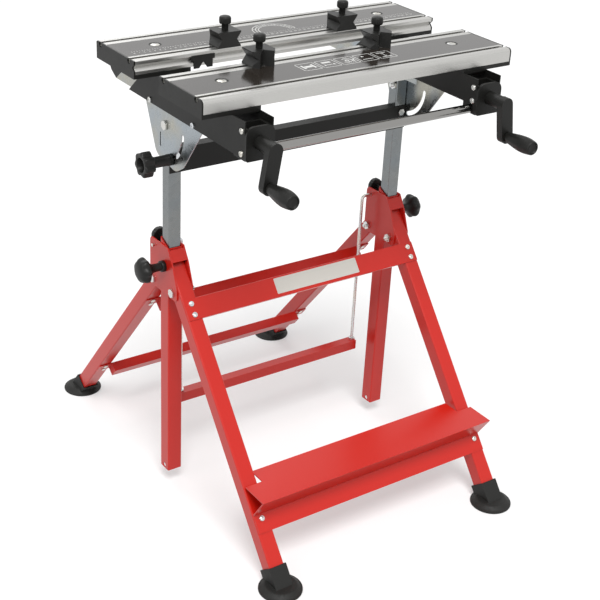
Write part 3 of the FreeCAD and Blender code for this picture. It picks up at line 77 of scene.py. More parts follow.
def span(tree, value, low, high, fromLow=0.0, fromHigh=1.0):
    # a value carried from one range over to another
    node = addNode(tree, "ShaderNodeMapRange", {"Value": value, "From Min": fromLow,
                                                "From Max": fromHigh, "To Min": low,
                                                "To Max": high})
    return node.outputs["Result"]


def objectPlace(tree):
    return addNode(tree, "ShaderNodeTexCoord").outputs["Object"]


def noise(tree, place, scale, detail):
    node = addNode(tree, "ShaderNodeTexNoise", {"Vector": place, "Scale": scale,
                                                "Detail": detail})
    return node.outputs["Fac"]


def bumped(tree, height, strength, distance):
    return addNode(tree, "ShaderNodeBump", {"Strength": strength, "Distance": distance,
                                            "Height": height})


# effects that several materials share, each a group

numberSocket, vectorSocket, colourSocket = "NodeSocketFloat", "NodeSocketVector", "NodeSocketColor"


def newGroup(name, inputs, outputs):
    group = bpy.data.node_groups.new(name, "ShaderNodeTree")
    for label, kind, value in inputs:
        socket = group.interface.new_socket(label, in_out="INPUT", socket_type=kind)
        socket.default_value = value
    for label, kind in outputs:
        group.interface.new_socket(label, in_out="OUTPUT", socket_type=kind)
    given = group.nodes.new("NodeGroupInput").outputs
    out = group.nodes.new("NodeGroupOutput").inputs
    return group, given, out


mottleNoise = {"finerBy": 7.0, "broadDetail": 3.0, "fineDetail": 2.0}


def makeSoftMottle():
    # two sizes of noise, as a mask about zero that shifts a colour and a roughness a little
    group, given, out = newGroup("softMottle", [("Scale", numberSocket, 20.0),
                                                ("Amount", numberSocket, 0.1)],
                                 [("Mask", numberSocket)])
    place = objectPlace(group)
    broad = noise(group, place, given["Scale"], mottleNoise["broadDetail"])
    finer = maths(group, "MULTIPLY", given["Scale"], mottleNoise["finerBy"])
    fine = noise(group, place, finer, mottleNoise["fineDetail"])
    both = maths(group, "ADD", broad, fine)
    centred = maths(group, "SUBTRACT", both, 1.0)
    scaled = maths(group, "MULTIPLY", centred, given["Amount"])
    group.links.new(scaled, out["Mask"])
    return group


grainDetail = 3.0


def makeSurfaceGrain():
    # fine bumps of a moulded or coated surface
    group, given, out = newGroup("surfaceGrain", [("Scale", numberSocket, 900.0),
                                                  ("Strength", numberSocket, 0.1),
                                                  ("Distance", numberSocket, 0.0002)],
                                 [("Normal", vectorSocket)])
    grain = noise(group, objectPlace(group), given["Scale"], grainDetail)
    bump = bumped(group, grain, given["Strength"], given["Distance"])
    group.links.new(bump.outputs["Normal"], out["Normal"])
    return group


drawnLine = {"depth": 0.0002, "detail": 4.0}


def makeDrawLines():
    # long fine lines left by extruding or drawing, along one axis
    group, given, out = newGroup("drawLines", [("Stretch", vectorSocket, (4.0, 900.0, 900.0)),
                                               ("Strength", numberSocket, 0.1)],
                                 [("Mask", numberSocket), ("Normal", vectorSocket)])
    stretched = addNode(group, "ShaderNodeVectorMath", {0: objectPlace(group),
                                                        1: given["Stretch"]},
                        operation="MULTIPLY")
    lines = noise(group, stretched.outputs[0], 1.0, drawnLine["detail"])
    bump = bumped(group, lines, given["Strength"], drawnLine["depth"])
    group.links.new(lines, out["Mask"])
    group.links.new(bump.outputs["Normal"], out["Normal"])
    return group


zincPatch = {"scale": 13.0, "detail": 3.0, "from": 0.38, "to": 0.62, "dark": 0.94, "light": 1.05}


def makeZincBloom():
    # the broken, slightly coloured sheen of zinc: crystals under larger soft patches
    group, given, out = newGroup("zincBloom", [("Scale", numberSocket, 160.0),
                                               ("Plain", colourSocket, (0.5, 0.5, 0.5, 1)),
                                               ("Tint", colourSocket, (0.5, 0.5, 0.4, 1))],
                                 [("Color", colourSocket), ("Mask", numberSocket)])
    place = objectPlace(group)
    crystal = addNode(group, "ShaderNodeTexVoronoi", {"Vector": place, "Scale": given["Scale"]})
    parts = addNode(group, "ShaderNodeSeparateColor", {"Color": crystal.outputs["Color"]})
    grey = parts.outputs[0]
    patch = noise(group, place, zincPatch["scale"], zincPatch["detail"])
    wide = span(group, patch, 0.0, 1.0, zincPatch["from"], zincPatch["to"])
    # a colour mix has its two colours at sockets 6 and 7, and its result at 2
    mixed = addNode(group, "ShaderNodeMix", {"Factor": wide, 6: given["Plain"], 7: given["Tint"]},
                    data_type="RGBA")
    light = span(group, grey, zincPatch["dark"], zincPatch["light"])
    shaded = scaledColour(group, mixed.outputs[2], light)
    group.links.new(shaded, out["Color"])
    group.links.new(grey, out["Mask"])
    return group


softMottle = makeSoftMottle()
surfaceGrain = makeSurfaceGrain()
drawLines = makeDrawLines()
zincBloom = makeZincBloom()


def placeGroup(tree, group, **values):
    node = addNode(tree, "ShaderNodeGroup", node_tree=group)
    for key, value in values.items():
        node.inputs[key].default_value = value
    return node.outputs


# finishes: coats, ribbed plastic, drawn metal and zinc

def mottledColour(tree, shader, look):
    # the base colour made lighter and darker by the mottle, whose mask is given back
    mask = placeGroup(tree, softMottle, Scale=look["mottleScale"], Amount=look["mottle"])["Mask"]
    factor = maths(tree, "ADD", mask, 1.0)
    tree.links.new(scaledColour(tree, look["colour"], factor), shader.inputs["Base Color"])
    return mask


def addGrain(tree, shader, look):
    grain = placeGroup(tree, surfaceGrain, Scale=look["grainScale"], Strength=look["grain"])
    tree.links.new(grain["Normal"], shader.inputs["Normal"])


def coatedFinish(name, look):
    # paint, plastic or rubber: mottled colour and roughness, most with a fine grain
    material, tree, shader = newMaterial(name)
    mask = mottledColour(tree, shader, look)
    tree.links.new(maths(tree, "ADD", mask, look["roughness"]), shader.inputs["Roughness"])
    if "grain" in look:
        addGrain(tree, shader, look)
    shader.inputs["Specular IOR Level"].default_value = look.get("specular", 0.5)
    if "ior" in look:
        shader.inputs["IOR"].default_value = look["ior"]
    return material


def ribbedFinish(name, look):
    # moulded plastic with fine ribs one above another
    material = coatedFinish(name, look)
    tree, shader = material.node_tree, material.node_tree.nodes["Principled BSDF"]
    grain = shader.inputs["Normal"].links[0].from_socket
    ribs = addNode(tree, "ShaderNodeTexWave", {"Vector": objectPlace(tree),
                                               "Scale": look["ribs"]}, bands_direction="Z")
    bump = bumped(tree, ribs.outputs["Fac"], look["ribStrength"], look["ribDepth"])
    tree.links.new(grain, bump.inputs["Normal"])
    tree.links.new(bump.outputs["Normal"], shader.inputs["Normal"])
    return material


# how far the roughness falls and rises, and the middle part of the lines' mask that does it
drawnSheen = {"smoother": 0.06, "rougher": 0.08, "from": 0.3, "to": 0.7}


def metalFinish(name, look):
    # bare or polished metal with drawing lines and patches of different sheen
    material, tree, shader = newMaterial(name)
    shader.inputs["Metallic"].default_value = 1.0
    mottledColour(tree, shader, look)
    lines = placeGroup(tree, drawLines, Stretch=look["stretch"], Strength=look["lines"])
    rough = span(tree, lines["Mask"], look["roughness"] - drawnSheen["smoother"],
                 look["roughness"] + drawnSheen["rougher"], drawnSheen["from"], drawnSheen["to"])
    tree.links.new(rough, shader.inputs["Roughness"])
    tree.links.new(lines["Normal"], shader.inputs["Normal"])
    return material


zincSheen = {"smoother": 0.05, "rougher": 0.06}


def zincFinish(name, look):
    # zinc-coated steel: crystals, soft coloured patches and a fine grain
    material, tree, shader = newMaterial(name)
    shader.inputs["Metallic"].default_value = 1.0
    bloom = placeGroup(tree, zincBloom, Scale=look["crystals"], Plain=(*look["colour"], 1),
                       Tint=(*look["tint"], 1))
    tree.links.new(bloom["Color"], shader.inputs["Base Color"])
    rough = span(tree, bloom["Mask"], look["roughness"] - zincSheen["smoother"],
                 look["roughness"] + zincSheen["rougher"])
    tree.links.new(rough, shader.inputs["Roughness"])
    addGrain(tree, shader, look)
    return material


redPaint = coatedFinish("redPaint", {
    "colour": (0.60, 0.014, 0.006), "roughness": 0.30, "specular": 0.5,
    "mottle": 0.015, "mottleScale": 5.0})
blackPaint = coatedFinish("blackPaint", {
    "colour": (0.009, 0.009, 0.008), "roughness": 0.42, "specular": 0.22,
    "mottle": 0.08, "mottleScale": 18.0, "grain": 0.10, "grainScale": 1200.0})
blackPlastic = coatedFinish("blackPlastic", {
    "colour": (0.010, 0.010, 0.009), "roughness": 0.42, "specular": 0.26,
    "mottle": 0.10, "mottleScale": 25.0, "grain": 0.16, "grainScale": 1500.0})
ribbedPlastic = ribbedFinish("ribbedPlastic", {
    "colour": (0.010, 0.010, 0.009), "roughness": 0.40, "specular": 0.30,
    "mottle": 0.10, "mottleScale": 25.0, "grain": 0.10, "grainScale": 1500.0,
    "ribs": 190.0, "ribStrength": 0.6, "ribDepth": 0.0004})
blackRubber = coatedFinish("blackRubber", {
    "colour": (0.012, 0.012, 0.011), "roughness": 0.58, "specular": 0.3,
    "mottle": 0.12, "mottleScale": 30.0, "grain": 0.22, "grainScale": 1100.0})
jawInlay = coatedFinish("jawInlay", {
    "colour": (0.026, 0.021, 0.017), "roughness": 0.13, "specular": 0.5, "ior": 1.76,
    "mottle": 0.05, "mottleScale": 40.0, "grain": 0.02, "grainScale": 1800.0})
whitePrint = coatedFinish("whitePrint", {
    "colour": (0.72, 0.72, 0.70), "roughness": 0.45,
    "mottle": 0.04, "mottleScale": 60.0, "grain": 0.04, "grainScale": 900.0})
blankLabel = coatedFinish("blankLabel", {
    "colour": (0.66, 0.63, 0.58), "roughness": 0.30,
    "mottle": 0.03, "mottleScale": 30.0, "grain": 0.03, "grainScale": 900.0})
galvanised = zincFinish("galvanised", {
    "colour": (0.355, 0.390, 0.415), "tint": (0.415, 0.405, 0.355), "crystals": 170.0,
    "roughness": 0.30, "grain": 0.04, "grainScale": 500.0})
# the columns' zinc: its tint and crystals are its own, but its level is darker than galvanised,
# and that darkness is painted shade
shadedColumnZinc = zincFinish("shadedColumnZinc", {
    "colour": (0.205, 0.222, 0.232), "tint": (0.222, 0.230, 0.228), "crystals": 120.0,
    "roughness": 0.24, "grain": 0.05, "grainScale": 500.0})
zincPlate = zincFinish("zincPlate", {
    "colour": (0.64, 0.66, 0.68), "tint": (0.68, 0.66, 0.60), "crystals": 700.0,
    "roughness": 0.24, "grain": 0.04, "grainScale": 900.0})
aluminium = metalFinish("aluminium", {
    "colour": (0.55, 0.545, 0.525), "roughness": 0.30, "mottle": 0.05, "mottleScale": 9.0,
    "lines": 0.14, "stretch": (3.0, 1400.0, 1400.0)})
chromeRail = metalFinish("chromeRail", {
    "colour": (0.30, 0.295, 0.285), "roughness": 0.12, "mottle": 0.03, "mottleScale": 9.0,
    "lines": 0.04, "stretch": (5.0, 500.0, 500.0)})
spindleSteel = metalFinish("spindleSteel", {
    "colour": (0.36, 0.35, 0.34), "roughness": 0.36, "mottle": 0.12, "mottleScale": 60.0,
    "lines": 0.08, "stretch": (500.0, 60.0, 500.0)})
print("materials made")


# the legs' leaning frames: their origins at the height of the leg bolts, and how many degrees
# they lean

legLines = {"front": {"y": -43, "lean": -39.0}, "rear": {"y": 38, "lean": 39.6}}
legBoltHeight = 433
legFrame = {name: Matrix.Translation((0, line["y"] * mm, legBoltHeight * mm))
            @ Matrix.Rotation(math.radians(line["lean"]), 4, "X")
            for name, line in legLines.items()}


# finished copies of the CAD nodes: merged, with small rounded edges

finishing = {"mergeWithin": 2e-6, "flatAngle": 0.4, "sharpAngle": 32, "bevelAngle": 38,
             "bevelSegments": 2}


def shadeByAngle(mesh, angle):
    mesh.shade_smooth()
    mesh.set_sharp_from_angle(angle=math.radians(angle))


def finishMesh(source, name, material, edge):
    mesh = source.data.copy()
    shape = bmesh.new()
    shape.from_mesh(mesh)
    bmesh.ops.remove_doubles(shape, verts=shape.verts, dist=finishing["mergeWithin"])
    bmesh.ops.dissolve_limit(shape, angle_limit=math.radians(finishing["flatAngle"]),
                             verts=shape.verts, edges=shape.edges, delimit={"NORMAL"})
    shape.to_mesh(mesh)
    shape.free()
    mesh.name = name
    piece = bpy.data.objects.new(name, mesh)
    bpy.context.scene.collection.objects.link(piece)
    mesh.materials.clear()
    mesh.materials.append(material)
    shadeByAngle(mesh, finishing["sharpAngle"])
    if edge:
        bevel = piece.modifiers.new("softEdge", "BEVEL")
        bevel.width = edge
        bevel.segments = finishing["bevelSegments"]
        bevel.limit_method = "ANGLE"
        bevel.angle_limit = math.radians(finishing["bevelAngle"])
        piece.modifiers.new("evenShade", "WEIGHTED_NORMAL").keep_sharp = True
    return piece


bodyOf = {node: body for body, nodes in frame["record"]["behaviour"]["bodies"].items()
          for node in nodes}

# the nodes of each finish, with the width of their rounded edges in mm
finishes = {
    redPaint: {"tube_left": 1.6, "tube_right": 1.6, "front_leg_left": 1.6,
               "front_leg_right": 1.6, "rear_leg_left": 1.6, "rear_leg_right": 1.6,
               "bracket_left": 0.5, "bracket_right": 0.5, "front_panel": 0.5, "step": 0.6,
               "upper_bar": 0.5, "lower_bar": 0.5, "bail_bar": 0.5},
    blackPaint: {"beam_left": 0.6, "beam_right": 0.6, "cross_channel": 0.6},
    galvanised: {"slides": 0.6, "tilt_plate_left": 0.4, "tilt_plate_right": 0.4},
    # the columns take the darker zinc, whose darkness is painted shade
    shadedColumnZinc: {"columns": 2.0},
    chromeRail: {"front_rail": 0},
    aluminium: {"front_jaw": 0.4, "rear_jaw": 0.4},
    jawInlay: {"front_inlay": 0.1, "rear_inlay": 0.1},
    blackPlastic: {"housings": 1.0, "front_caps": 0.8, "rear_caps": 0.8, "slide_plugs": 1.0,
                   "crank_left": 3.2, "crank_right": 3.2, "rear_knob_left": 0.8,
                   "rear_knob_right": 0.8, "groove_clip": 0.4},
    ribbedPlastic: {"dog_front_left": 0.7, "dog_front_right": 0.7, "dog_rear_left": 0.7,
                    "dog_rear_right": 0.7},
    blackRubber: {"front_feet": 1.0, "rear_feet": 1.0},
    zincPlate: {"housing_screws": 0.7, "front_jaw_screws": 0.7, "rear_jaw_screws": 0.7,
                "plate_rivets": 0.7, "mast_bolts": 0.6, "base_bolts": 0.6, "rear_screws": 0.6,
                "bail_rods": 0.3},
    spindleSteel: {"spindle_nuts": 0.5},
}
finished = {}
for material, nodes in finishes.items():
    for node, edge in nodes.items():
        piece = finishMesh(frame["nodes"][node], node + "_finished", material, edge * mm)
        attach(piece, bodyOf[node])
        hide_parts(node)
        finished[node] = piece


# the sleeves of the feet end square to the legs, at these heights in the legs' frames

sleeveTop = {"front_feet": ("front", -516.0), "rear_feet": ("rear", -519.0)}
cutWithin = 1e-7


def cutSleeves():
    for node, (leg, height) in sleeveTop.items():
        mesh, place = finished[node].data, legFrame[leg]
        shape = bmesh.new()
        shape.from_mesh(mesh)
        cut = bmesh.ops.bisect_plane(shape, dist=cutWithin, clear_outer=True,
                                     geom=shape.verts[:] + shape.edges[:] + shape.faces[:],
                                     plane_co=place @ Vector((0, 0, height * mm)),
                                     plane_no=place.to_3x3() @ Vector((0, 0, 1)))
        rim = [item for item in cut["geom_cut"] if isinstance(item, bmesh.types.BMEdge)]
        bmesh.ops.triangle_fill(shape, use_beauty=True, use_dissolve=True, edges=rim)
        bmesh.ops.recalc_face_normals(shape, faces=shape.faces)
        shape.to_mesh(mesh)
        shape.free()
        shadeByAngle(mesh, finishing["sharpAngle"])


cutSleeves()
print("CAD nodes finished:", len(finished))


# shapes of the new pieces, built at the origin in metres from sizes in mm

turnedMergeWithin = 1e-6


def turned(profile, steps=32):
    # a profile of (radius, height) turned about Z
    shape = bmesh.new()
    points = [shape.verts.new((radius * mm, 0, height * mm)) for radius, height in profile]
    lines = [shape.edges.new(pair) for pair in zip(points, points[1:])]
    bmesh.ops.spin(shape, geom=points + lines, cent=(0, 0, 0), axis=(0, 0, 1), angle=math.tau,
                   steps=steps, use_merge=True)
    bmesh.ops.remove_doubles(shape, verts=shape.verts, dist=turnedMergeWithin)
    bmesh.ops.recalc_face_normals(shape, faces=shape.faces)
    return shape


def slab(low, high):
    # a plain block between two corners
    shape = bmesh.new()
    low, high = Vector(low) * mm, Vector(high) * mm
    place = Matrix.Translation((low + high) / 2) @ Matrix.Diagonal(high - low).to_4x4()
    bmesh.ops.create_cube(shape, size=1, matrix=place)
    return shape


def putAt(shape, at, facing=(0, 0, 1), turn=0.0, within=Matrix()):
    # moves a shape so that its +Z points along facing, inside a leaning frame if one is given
    toward = Vector(facing).to_track_quat("Z", "Y").to_matrix().to_4x4()
    spun = Matrix.Rotation(math.radians(turn), 4, "Z")
    place = Matrix.Translation(Vector(at) * mm) @ toward @ spun
    bmesh.ops.transform(shape, matrix=within @ place, verts=shape.verts)
    return shape


def vertsOf(items):
    return [item for item in items if isinstance(item, bmesh.types.BMVert)]


def joined(shapes):
    whole = bmesh.new()
    for shape in shapes:
        mesh = bpy.data.meshes.new("passedOn")
        shape.to_mesh(mesh)
        shape.free()
        whole.from_mesh(mesh)
        bpy.data.meshes.remove(mesh)
    return whole


def addPiece(name, shape, material, body, replaced=None, sharpAngle=35):
    mesh = bpy.data.meshes.new(name)
    shape.to_mesh(mesh)
    shape.free()
    mesh.materials.append(material)
    shadeByAngle(mesh, sharpAngle)
    piece = bpy.data.objects.new(name, mesh)
    bpy.context.scene.collection.objects.link(piece)
    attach(piece, body)
    if replaced:
        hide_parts(replaced)


knobSharpAngle = 50  # the soft flutes, lobes and flats of knobs and grips stay smooth


def wave(vert, count):
    # runs between 1 and -1, count times round the Z axis
    return math.cos(count * math.atan2(vert.co.y, vert.co.x))


# screw heads with a cross recess

screwHead = {"radius": 5.1, "height": 3.3, "recess": 1.1, "sides": 16}
# outline from the middle of the top to the middle of the seat, in shares of radius and height
headShares = [(0, 1), (0.16, 1), (0.56, 0.88), (0.85, 0.55), (1, 0.14), (1, 0), (0, 0)]
cross = {"topShare": 0.8, "middleShare": 0.15, "halfAngle": 9}


def inCross(face, look):
    # whether a face of the head's top belongs to the cross: its middle, or one of four arms
    middle = face.calc_center_median()
    if middle.z <= look["height"] * cross["topShare"] * mm:
        return False
    turn = math.degrees(math.atan2(middle.y, middle.x)) % 90
    return (middle.xy.length / mm < look["radius"] * cross["middleShare"]
            or min(turn, 90 - turn) < cross["halfAngle"])


def crossHead(look=screwHead):
    shape = turned([(look["radius"] * out, look["height"] * up) for out, up in headShares],
                   look["sides"])
    bmesh.ops.rotate(shape, verts=shape.verts, cent=(0, 0, 0),
                     matrix=Matrix.Rotation(math.pi / look["sides"], 3, "Z"))
    arms = [face for face in shape.faces if inCross(face, look)]
    sunk = bmesh.ops.extrude_face_region(shape, geom=arms)["geom"]
    bmesh.ops.delete(shape, geom=[face for face in arms if face.is_valid], context="FACES_ONLY")
    bmesh.ops.translate(shape, verts=vertsOf(sunk), vec=(0, 0, -look["recess"] * mm))
    return shape


# places on the right-hand side as x, y, z, with 1 for a head that faces outwards and -1 for
# one that faces inwards; the left-hand side mirrors them
tableScrews = [(267, -251, 816, 1), (267, -251, 778, 1), (213, -251, 816, -1),
               (213, -251, 792, -1), (267, 47, 776, 1), (267, -100, 776, 1)]
# in the front legs' frame
legScrews = {"x": 250, "y": -17, "heights": (-25.0, -45.8, -428.5)}
headTurn = {"table": 20, "legs": 15}  # degrees, to which the head's own y or z is added


def makeScrewHeads():
    table, base = [], []
    for side in (-1, 1):
        for x, y, z, way in tableScrews:
            table.append(putAt(crossHead(), (x * side, y, z), (way * side, 0, 0),
                               turn=headTurn["table"] * side + y))
        for z in legScrews["heights"]:
            base.append(putAt(crossHead(), (legScrews["x"] * side, legScrews["y"], z),
                              (0, -1, 0), turn=headTurn["legs"] + z, within=legFrame["front"]))
    addPiece("tableScrewHeads", joined(table), zincPlate, "table")
    addPiece("baseScrewHeads", joined(base), zincPlate, "base")


makeScrewHeads()


# thread ends that stand out of the nuts, facing inwards on both sides

threadEnd = {"radius": 3.9, "pitch": 1.25, "length": 5.5, "depth": 0.55, "buried": 1,
             "tipInset": 0.8, "steps": 20}
threadSpots = {"base": [(227.5, -33, legBoltHeight), (227.5, 38, legBoltHeight)],
               "mast": [(232.5, -4, 745)]}


def threadedEnd():
    radius, pitch, length = threadEnd["radius"], threadEnd["pitch"], threadEnd["length"]
    profile, height = [(0, -threadEnd["buried"]), (radius, -threadEnd["buried"])], 0.0
    while height < length - pitch:
        profile += [(radius, height), (radius - threadEnd["depth"], height + pitch / 2)]
        height += pitch
    profile += [(radius, height), (radius - threadEnd["tipInset"], length), (0, length)]
    return turned(profile, threadEnd["steps"])


def makeThreadEnds():
    for body, spots in threadSpots.items():
        ends = [putAt(threadedEnd(), (x * side, y, z), (-side, 0, 0))
                for side in (-1, 1) for x, y, z in spots]
        addPiece(body + "ThreadEnds", joined(ends), zincPlate, body)


makeThreadEnds()


# jaw screws: the recess round each head as a black cup, its blackness painted shade, and a flat
# domed head with a cross recess

jawScrew = {"x": 242.3, "front": -148, "rear": 73, "seat": 862.55, "turn": 20, "cupSteps": 40}
jawScrewHead = {"radius": 8.5, "height": 1.9, "recess": 1.2, "sides": 24}
# the recess wall round a jaw screw head, made black as painted shade
cupProfile = [(11.45, 0), (11.45, 1.5), (11.15, 1.62), (9.89, 1.5), (8.85, 0.5), (8.85, 0),
              (11.45, 0)]


def makeJawScrews():
    for word, body in (("front", "table"), ("rear", "carriage")):
        places = [(jawScrew["x"] * side, jawScrew[word], jawScrew["seat"]) for side in (-1, 1)]
        heads = [putAt(crossHead(jawScrewHead), at, turn=jawScrew["turn"]) for at in places]
        shadeCups = [putAt(turned(cupProfile, jawScrew["cupSteps"]), at) for at in places]
        addPiece(word + "JawScrewHeads", joined(heads), zincPlate, body)
        # the cups are black plastic as painted shade of the recess
        addPiece(word + "JawScrewShadeCups", joined(shadeCups), blackPlastic, body)


makeJawScrews()


# clamping screws of the dogs: fluted knob on a plain neck, with real heights in its profile

dogSpots = {"front_left": (-140, -99), "front_right": (107, -99), "rear_left": (-135, 18),
            "rear_right": (117, 18)}
dogKnob = {"flutes": 14, "fluteDepth": 0.7, "outside": 9.6, "from": 903, "to": 914, "steps": 112}
dogKnobProfile = [(0, 856.4), (3.6, 856.4), (3.9, 856.8), (3.9, 891.9), (6, 891.9), (6, 900.8),
                  (6.7, 902.1), (9.4, 902.6), (10.2, 903.6), (10.5, 905.2), (10.5, 911.6),
                  (10.1, 913.4), (9.0, 914.8), (6.8, 915.7), (3.6, 916.1), (0, 916.2)]


def makeDogKnobs():
    for word, (x, y) in dogSpots.items():
        shape = turned(dogKnobProfile, dogKnob["steps"])
        for vert in shape.verts:
            out = vert.co.xy.length / mm
            if out > dogKnob["outside"] and dogKnob["from"] < vert.co.z / mm < dogKnob["to"]:
                hollow = max(0.0, wave(vert, dogKnob["flutes"])) ** 2
                vert.co.xy *= 1 - dogKnob["fluteDepth"] / out * hollow
        addPiece("dogKnob_" + word, putAt(shape, (x, y, 0)), blackPlastic, "dog_screw_" + word,
                 replaced="dog_screw_" + word, sharpAngle=knobSharpAngle)


makeDogKnobs()


# clamping knobs of the stand and the tilt: soft lobes on a dome, and a star with a hollow end

domeKnob = {"at": (262.8, -4, 476), "turn": 10, "lobes": 7, "depthShare": 0.12, "inner": 15,
            "outer": 24.6}
domeProfile = [(0, 0), (5, 0), (5, 5), (10, 5), (10.6, 5.6), (10.6, 12), (10, 12.8),
               (7.8, 13.4), (7.6, 22), (8.4, 30), (11.5, 34.5), (17, 38.2), (22, 40.8),
               (24.2, 43), (24.7, 45.6), (24.2, 49), (22.2, 53), (18.6, 56.4), (13.5, 58.6),
               (8.5, 59.6), (4, 59.95), (0, 60)]
starKnob = {"at": (265.3, -24, 689), "turn": 90, "lobes": 7, "depthShare": 0.20, "inner": 15,
            "outer": 23}
starProfile = [(0, 0), (9.8, 0), (10.4, 0.6), (10.4, 8), (9.8, 9), (9.8, 30), (10.2, 35),
               (12, 38), (16.5, 39.6), (21.6, 40.6), (22.7, 41.4), (23, 43), (23, 56.6),
               (22.4, 58.4), (21, 59.4), (15.4, 59.7), (13.4, 59.4), (12.7, 58.2), (12.2, 47),
               (11, 45.4), (0, 45)]
stepsPerLobe = 16


def lobed(profile, look):
    # the lobes deepen from the inner radius to the outer one
    shape = turned(profile, look["lobes"] * stepsPerLobe)
    for vert in shape.verts:
        reach = (vert.co.xy.length / mm - look["inner"]) / (look["outer"] - look["inner"])
        hollow = (1 - wave(vert, look["lobes"])) / 2
        vert.co.xy *= 1 - look["depthShare"] * hollow * min(1.0, max(0.0, reach))
    return shape


def addClampKnob(name, node, profile, look, side):
    x, y, z = look["at"]
    knob = putAt(lobed(profile, look), (x * side, y, z), (side, 0, 0), turn=look["turn"])
    addPiece(name, knob, blackPlastic, node, replaced=node, sharpAngle=knobSharpAngle)


addClampKnob("leftHeightKnob", "height_knob_left", domeProfile, domeKnob, -1)
addClampKnob("rightHeightKnob", "height_knob_right", domeProfile, domeKnob, 1)
addClampKnob("tiltKnob", "tilt_knob", starProfile, starKnob, -1)


# crank grips: a barrel with eight soft flats and a hollow end

grip = {"x": 250.386, "y": -310.6, "z": 737.74, "flats": 8, "depthShare": 0.035, "outside": 9.5,
        "from": 4, "to": 63, "steps": 64}
gripProfile = [(0, 0), (8.2, 0), (9.1, 0.7), (9.6, 3), (10.6, 9), (12.0, 17), (13.4, 26),
               (14.5, 35), (15.0, 43), (14.7, 50), (13.8, 57), (12.9, 61.5), (12.2, 63.8),
               (11.4, 64.8), (10.4, 64.9), (9.7, 64.1), (9.4, 62.4), (8.6, 61.6), (0, 61.2)]


def makeGrips():
    for word, side in (("left", -1), ("right", 1)):
        shape = turned(gripProfile, grip["steps"])
        for vert in shape.verts:
            along, out = vert.co.z / mm, vert.co.xy.length / mm
            if grip["from"] < along < grip["to"] and out > grip["outside"]:
                vert.co.xy *= 1 - grip["depthShare"] * (1 - wave(vert, grip["flats"])) / 2
        at = (grip["x"] * side, grip["y"], grip["z"])
        addPiece(word + "Grip", putAt(shape, at, (0, -1, 0)), blackPlastic, "grip_" + word,
                 replaced="grip_" + word, sharpAngle=knobSharpAngle)


makeGrips()


# spindles: a plain shank, then a rolled thread along the stretch that the nut travels

spindle = {"x": 241, "z": 797, "front": -264.3, "end": 76, "radius": 6.0, "root": 5.2,
           "threadFrom": -150, "runOut": 1, "tip": 1.5, "tipInset": 1.2, "pitch": 5.0,
           "sunk": 0.2, "steps": 32, "stepsPerTurn": 24}
ridgeShares = (0.06, 0.10, 0.32, 0.60, 0.82, 0.86)  # the ridge's corners along one pitch


def threadRidge(turns):
    # a trapezium carried round the Z axis, climbing one pitch in each turn
    root, crest, pitch = spindle["root"], spindle["radius"], spindle["pitch"]
    foot = root - spindle["sunk"]
    section = zip((foot, root, crest, crest, root, foot), ridgeShares)
    shape = bmesh.new()
    points = [shape.verts.new((radius * mm, 0, share * pitch * mm)) for radius, share in section]
    lines = [shape.edges.new(pair) for pair in zip(points, points[1:] + points[:1])]
    swept = bmesh.ops.spin(shape, geom=points + lines, cent=(0, 0, 0), axis=(0, 0, -1),
                           angle=math.tau * turns, steps=turns * spindle["stepsPerTurn"],
                           dvec=(0, 0, pitch * mm / spindle["stepsPerTurn"]))
    for end in (points, vertsOf(swept["geom_last"])):
        bmesh.ops.contextual_create(shape, geom=end)
    bmesh.ops.recalc_face_normals(shape, faces=shape.faces)
    return shape


def makeSpindles():
    radius, root, front = spindle["radius"], spindle["root"], spindle["front"]
    start, length = spindle["threadFrom"] - front, spindle["end"] - front
    turns = int((length - start) / spindle["pitch"]) - 1
    profile = [(0, 0), (radius, 0), (radius, start - spindle["runOut"]), (root, start),
               (root, length - spindle["tip"]), (root - spindle["tipInset"], length),
               (0, length)]
    for word, side in (("left", -1), ("right", 1)):
        core, ridge = turned(profile, spindle["steps"]), threadRidge(turns)
        x, z = spindle["x"] * side, spindle["z"]
        whole = joined([putAt(core, (x, front, z), (0, 1, 0)),
                        putAt(ridge, (x, front + start, z), (0, 1, 0))])
        addPiece(word + "Spindle", whole, spindleSteel, "crank_" + word,
                 replaced="spindle_" + word)


makeSpindles()
print("screws, knobs, grips and spindles made")


# white prints on the inlays: a ruler, a protractor and a row of plain use pictures

printTop, printBottom = 864.06, 863.9
printMiddle, printThick = (printTop + printBottom) / 2, printTop - printBottom


def dash(x0, x1, y0, y1):
    return slab((x0, y0, printBottom), (x1, y1, printTop))


def thickened(shape):
    # flat faces made to face up, then given the thickness of the print
    for face in shape.faces:
        if face.normal.z < 0:
            face.normal_flip()
    grown = bmesh.ops.extrude_face_region(shape, geom=shape.faces[:])["geom"]
    bmesh.ops.translate(shape, verts=vertsOf(grown), vec=(0, 0, printThick * mm))
    bmesh.ops.recalc_face_normals(shape, faces=shape.faces)
    return shape


arcSteps = {"angle": 5, "least": 4}


def arcBand(centre, inner, outer, start, end):
    # part of a ring, its angles counted anticlockwise from +X
    shape = bmesh.new()
    ends = [shape.verts.new((radius * mm, 0, 0)) for radius in (inner, outer)]
    line = shape.edges.new(ends)
    bmesh.ops.rotate(shape, verts=ends, cent=(0, 0, 0),
                     matrix=Matrix.Rotation(math.radians(start), 3, "Z"))
    steps = max(arcSteps["least"], int(abs(end - start) / arcSteps["angle"]))
    bmesh.ops.spin(shape, geom=ends + [line], cent=(0, 0, 0), axis=(0, 0, -1),
                   angle=math.radians(end - start), steps=steps)
    shape.normal_update()
    return putAt(thickened(shape), (*centre, printBottom))


def arrowHead(at, heading, size):
    shape = bmesh.new()
    bmesh.ops.create_circle(shape, cap_ends=True, segments=3, radius=size * mm)
    shape.normal_update()
    bmesh.ops.rotate(shape, verts=shape.verts, cent=(0, 0, 0),
                     matrix=Matrix.Rotation(math.radians(heading - 90), 3, "Z"))
    return putAt(thickened(shape), (*at, printBottom))


figureLook = {"curveSteps": 2, "mergeWithin": 1e-7}


